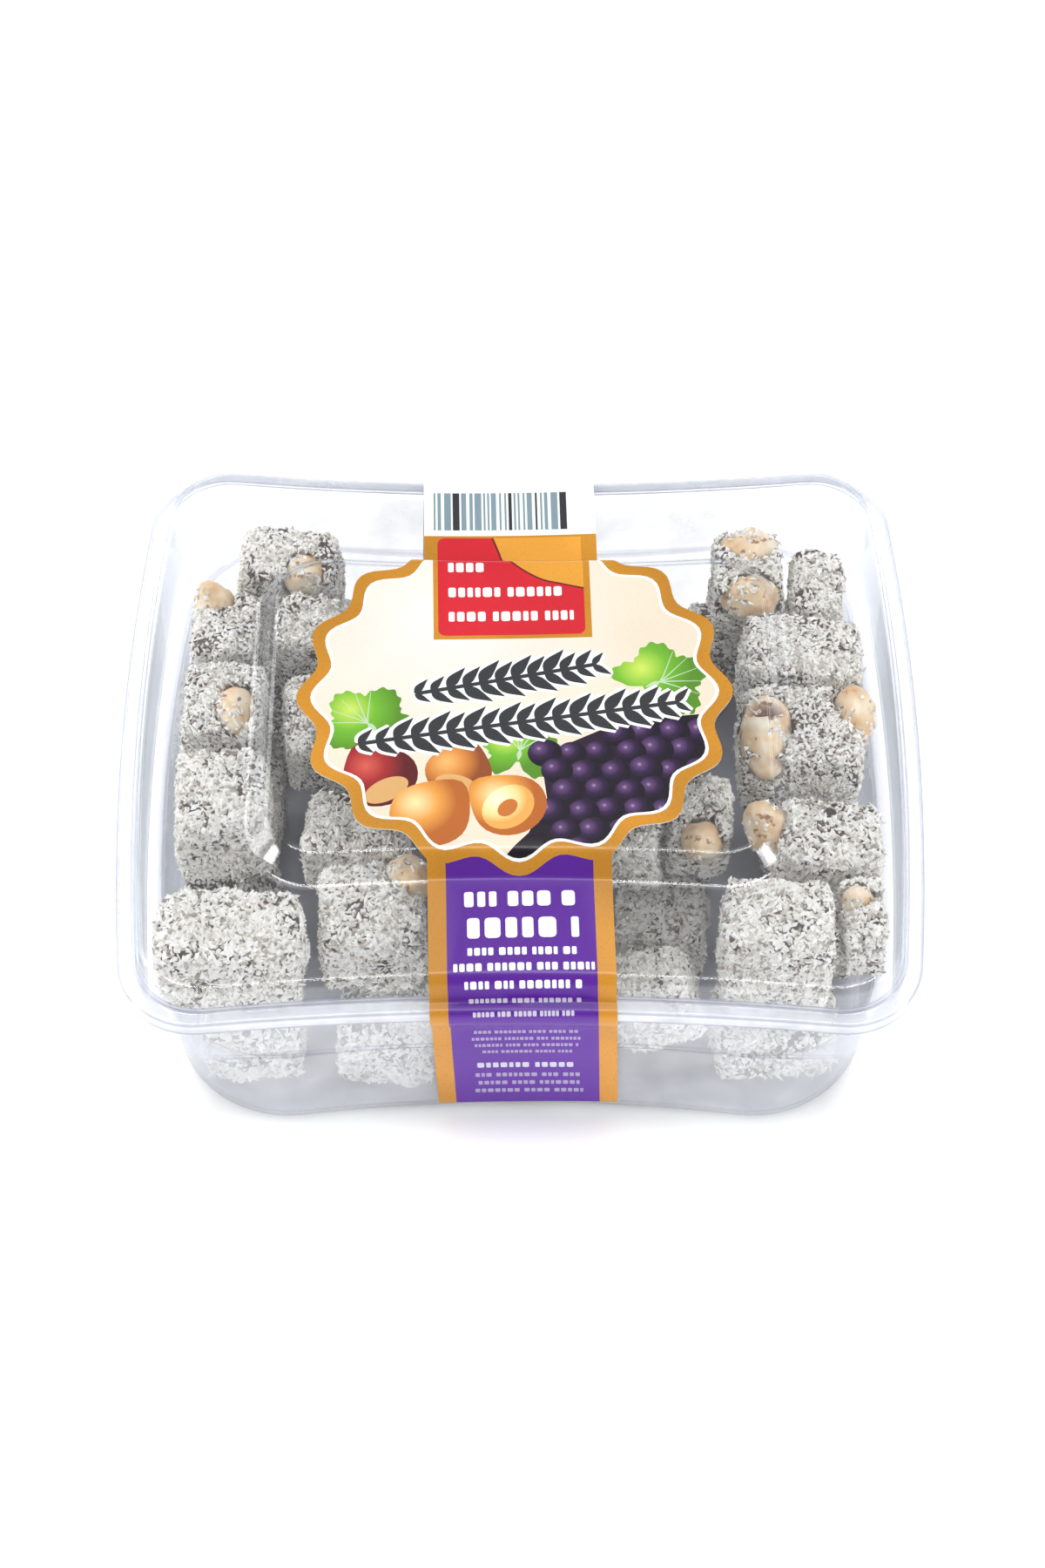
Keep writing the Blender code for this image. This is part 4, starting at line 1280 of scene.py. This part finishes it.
class LOKUMBOX_OT_kernels(bpy.types.Operator):
    """Builds the hazelnut kernels that show between the cubes"""

    bl_idname = "lokum_box.kernels"
    bl_label = "Hazelnut kernels"

    def execute(self, context):
        whole = kernel_material()
        lumps = bpy.data.textures.new("kernel_lumps", "CLOUDS")
        lumps.noise_scale = KERNEL_LUMP_WIDTH * MM
        for cad_node in sorted(frame["nodes"]):
            if not cad_node.startswith("hazelnut_"):
                continue
            kernel = copy_of(cad_node, cad_node.replace("hazelnut", "kernel"))
            finish_with(kernel, "SUBSURF", levels=2, render_levels=2)
            material = whole
            if cad_node == HOLLOW_KERNEL:
                low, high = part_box(cad_node)
                centre = (low + high) / 2
                mouth = Vector((centre.x, centre.y, high.z)) + HOLLOW_MOUTH * MM
                for vert in kernel.data.vertices:
                    offset = (vert.co - mouth) * HOLLOW_FORM
                    near = max(0.0, 1 - offset.length / (HOLLOW_REACH * MM))
                    vert.co.z -= HOLLOW_DEPTH * MM * near**0.8
                material = kernel_material(tuple(mouth - Vector((0, 0, STAIN_DEPTH * MM))))
            settings = {"texture": lumps, "texture_coords": "GLOBAL", "strength": KERNEL_LUMP_HEIGHT * MM}
            finish_with(kernel, "DISPLACE", mid_level=0.55, **settings)
            kernel.data.materials.append(material)
            smooth_by_angle(kernel, 180)
            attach(kernel, "root")
            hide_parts(cad_node)
        return {"FINISHED"}


# The stage.


def softbox(name, place, size, radiance, lights_scene):
    """A rectangular lamp that looks at the box, with the brightness that its reflection has."""
    light = bpy.data.lights.new(name, "AREA")
    light.shape = "RECTANGLE"
    light.size, light.size_y = size
    light.energy = radiance * size[0] * size[1] * math.pi
    lamp = bpy.data.objects.new(name, light)
    bpy.context.scene.collection.objects.link(lamp)
    lamp.location = place
    lamp.rotation_euler = (LAMP_AIM - Vector(place)).to_track_quat("-Z", "Y").to_euler()
    lamp.visible_diffuse = lights_scene


def floor_material():
    """A white lacquered table top with a painted glow round the box, lifting its soft shadow there to white,
    but none under its middle.
    """
    material, tree = new_material("white_table_lacquer")
    place = node(tree, "ShaderNodeTexCoord").outputs["Object"]
    cloud = node(tree, "ShaderNodeTexNoise", {"Vector": place, "Scale": 8.0, "Detail": 1.0})
    base = tuple(colours().floor)
    tone = node(tree, "ShaderNodeValToRGB", {0: cloud}, [(0.3, scaled(base, 0.995)), (0.7, base)])
    # The painted glow grows with the distance from a rectangle under the box.
    inset = (PAINTED_GLOW_HALF_WIDTH * MM, PAINTED_GLOW_HALF_DEPTH * MM, 0.0)
    outward = node(tree, "ShaderNodeVectorMath", {0: place, 1: (0.0, PAINTED_GLOW_FRONT * MM, 0.0)}, operation="ADD")
    outward = node(tree, "ShaderNodeVectorMath", {0: outward}, operation="ABSOLUTE")
    outward = node(tree, "ShaderNodeVectorMath", {0: outward, 1: inset}, operation="SUBTRACT")
    outward = node(tree, "ShaderNodeVectorMath", {0: outward, 1: (0.0, 0.0, 0.0)}, operation="MAXIMUM")
    away = node(tree, "ShaderNodeVectorMath", {0: outward}, operation="LENGTH").outputs["Value"]
    links = {0: away, 1: 0.0, 2: PAINTED_GLOW_FADE * MM, 3: 0.0, 4: PAINTED_GLOW_STRENGTH}
    painted_glow = node(tree, "ShaderNodeMapRange", links, interpolation_type="SMOOTHSTEP")
    look = {"Base Color": tone, "Roughness": 0.7, "IOR": 1.45}
    look |= {"Emission Color": (1.0, 1.0, 1.0, 1.0), "Emission Strength": painted_glow}
    node(tree, "ShaderNodeOutputMaterial", {"Surface": node(tree, "ShaderNodeBsdfPrincipled", look)})
    return material


def room_world():
    """A white room, dimmer in reflections than as light, as round a product table with dark flags."""
    world = bpy.data.worlds.new("white_room")
    world.use_nodes = True
    tree = world.node_tree
    sky = tree.nodes["Background"]
    glossy = node(tree, "ShaderNodeLightPath").outputs["Is Glossy Ray"]
    strength = node(tree, "ShaderNodeMapRange", {0: glossy, 3: 1.0, 4: REFLECTED_ROOM})
    sky.inputs["Color"].default_value = (0.98, 0.99, 1.0, 1.0)
    tree.links.new(strength.outputs[0], sky.inputs["Strength"])
    return world


class LOKUMBOX_OT_stage(bpy.types.Operator):
    """Sets the floor, the lamps, the sky and the camera"""

    bl_idname = "lokum_box.stage"
    bl_label = "Stage"

    def execute(self, context):
        scene = context.scene
        deselect()
        bpy.ops.mesh.primitive_plane_add(size=FLOOR_SIZE, location=(0, 0, FLOOR_LEVEL))
        floor = bpy.context.object
        floor.name = floor.data.name = "table"
        bpy.ops.object.transform_apply(location=True)
        floor.data.materials.append(floor_material())
        for lamps, lights_scene in ((SOFTBOXES, True), (GLINTS, False)):
            for lamp in lamps:
                softbox(*lamp, lights_scene)
        scene.world = room_world()
        scene.view_settings.view_transform = "Standard"
        scene.view_settings.look = "None"
        scene.cycles.transparent_max_bounces = WALL_CROSSINGS
        lens = bpy.data.cameras.new("camera")
        lens.sensor_fit = "VERTICAL"
        lens.sensor_height = 36.0
        lens.lens = CAMERA_LENS
        lens.clip_start, lens.clip_end = 0.01, 20.0
        camera = bpy.data.objects.new("camera", lens)
        scene.collection.objects.link(camera)
        camera.location = Vector(CAMERA_PLACE) * MM
        camera.rotation_euler = (math.radians(CAMERA_TILT), 0.0, 0.0)
        scene.camera = camera
        return {"FINISHED"}


OPERATORS = (
    LOKUMBOX_OT_tray,
    LOKUMBOX_OT_lid,
    LOKUMBOX_OT_label,
    LOKUMBOX_OT_jelly,
    LOKUMBOX_OT_kernels,
    LOKUMBOX_OT_coconut,
    LOKUMBOX_OT_stage,
)


class LOKUMBOX_PT_pieces(bpy.types.Panel):
    """Lists the pieces of the box and their settings"""

    bl_idname = "LOKUMBOX_PT_pieces"
    bl_label = "Lokum box"
    bl_space_type = "VIEW_3D"
    bl_region_type = "UI"
    bl_category = "Lokum box"

    def draw(self, context):
        column = self.layout.column()
        for operator in OPERATORS:
            column.operator(operator.bl_idname)
        for group in (context.scene.lokum_box_sizes, context.scene.lokum_box_colours):
            box = self.layout.box()
            for key in group.__annotations__:
                box.prop(group, key)


CLASSES = (LokumBoxSizes, LokumBoxColours, *OPERATORS, LOKUMBOX_PT_pieces)


def register():
    for made in CLASSES:
        bpy.utils.register_class(made)
    bpy.types.Scene.lokum_box_sizes = bpy.props.PointerProperty(type=LokumBoxSizes)
    bpy.types.Scene.lokum_box_colours = bpy.props.PointerProperty(type=LokumBoxColours)


def unregister():
    del bpy.types.Scene.lokum_box_colours
    del bpy.types.Scene.lokum_box_sizes
    for made in reversed(CLASSES):
        bpy.utils.unregister_class(made)


def main():
    register()
    bpy.ops.lokum_box.tray()
    bpy.ops.lokum_box.lid()
    bpy.ops.lokum_box.label()
    bpy.ops.lokum_box.jelly()
    bpy.ops.lokum_box.kernels()
    bpy.ops.lokum_box.coconut()
    bpy.ops.lokum_box.stage()
    deselect()


if __name__ == "__main__":
    main()
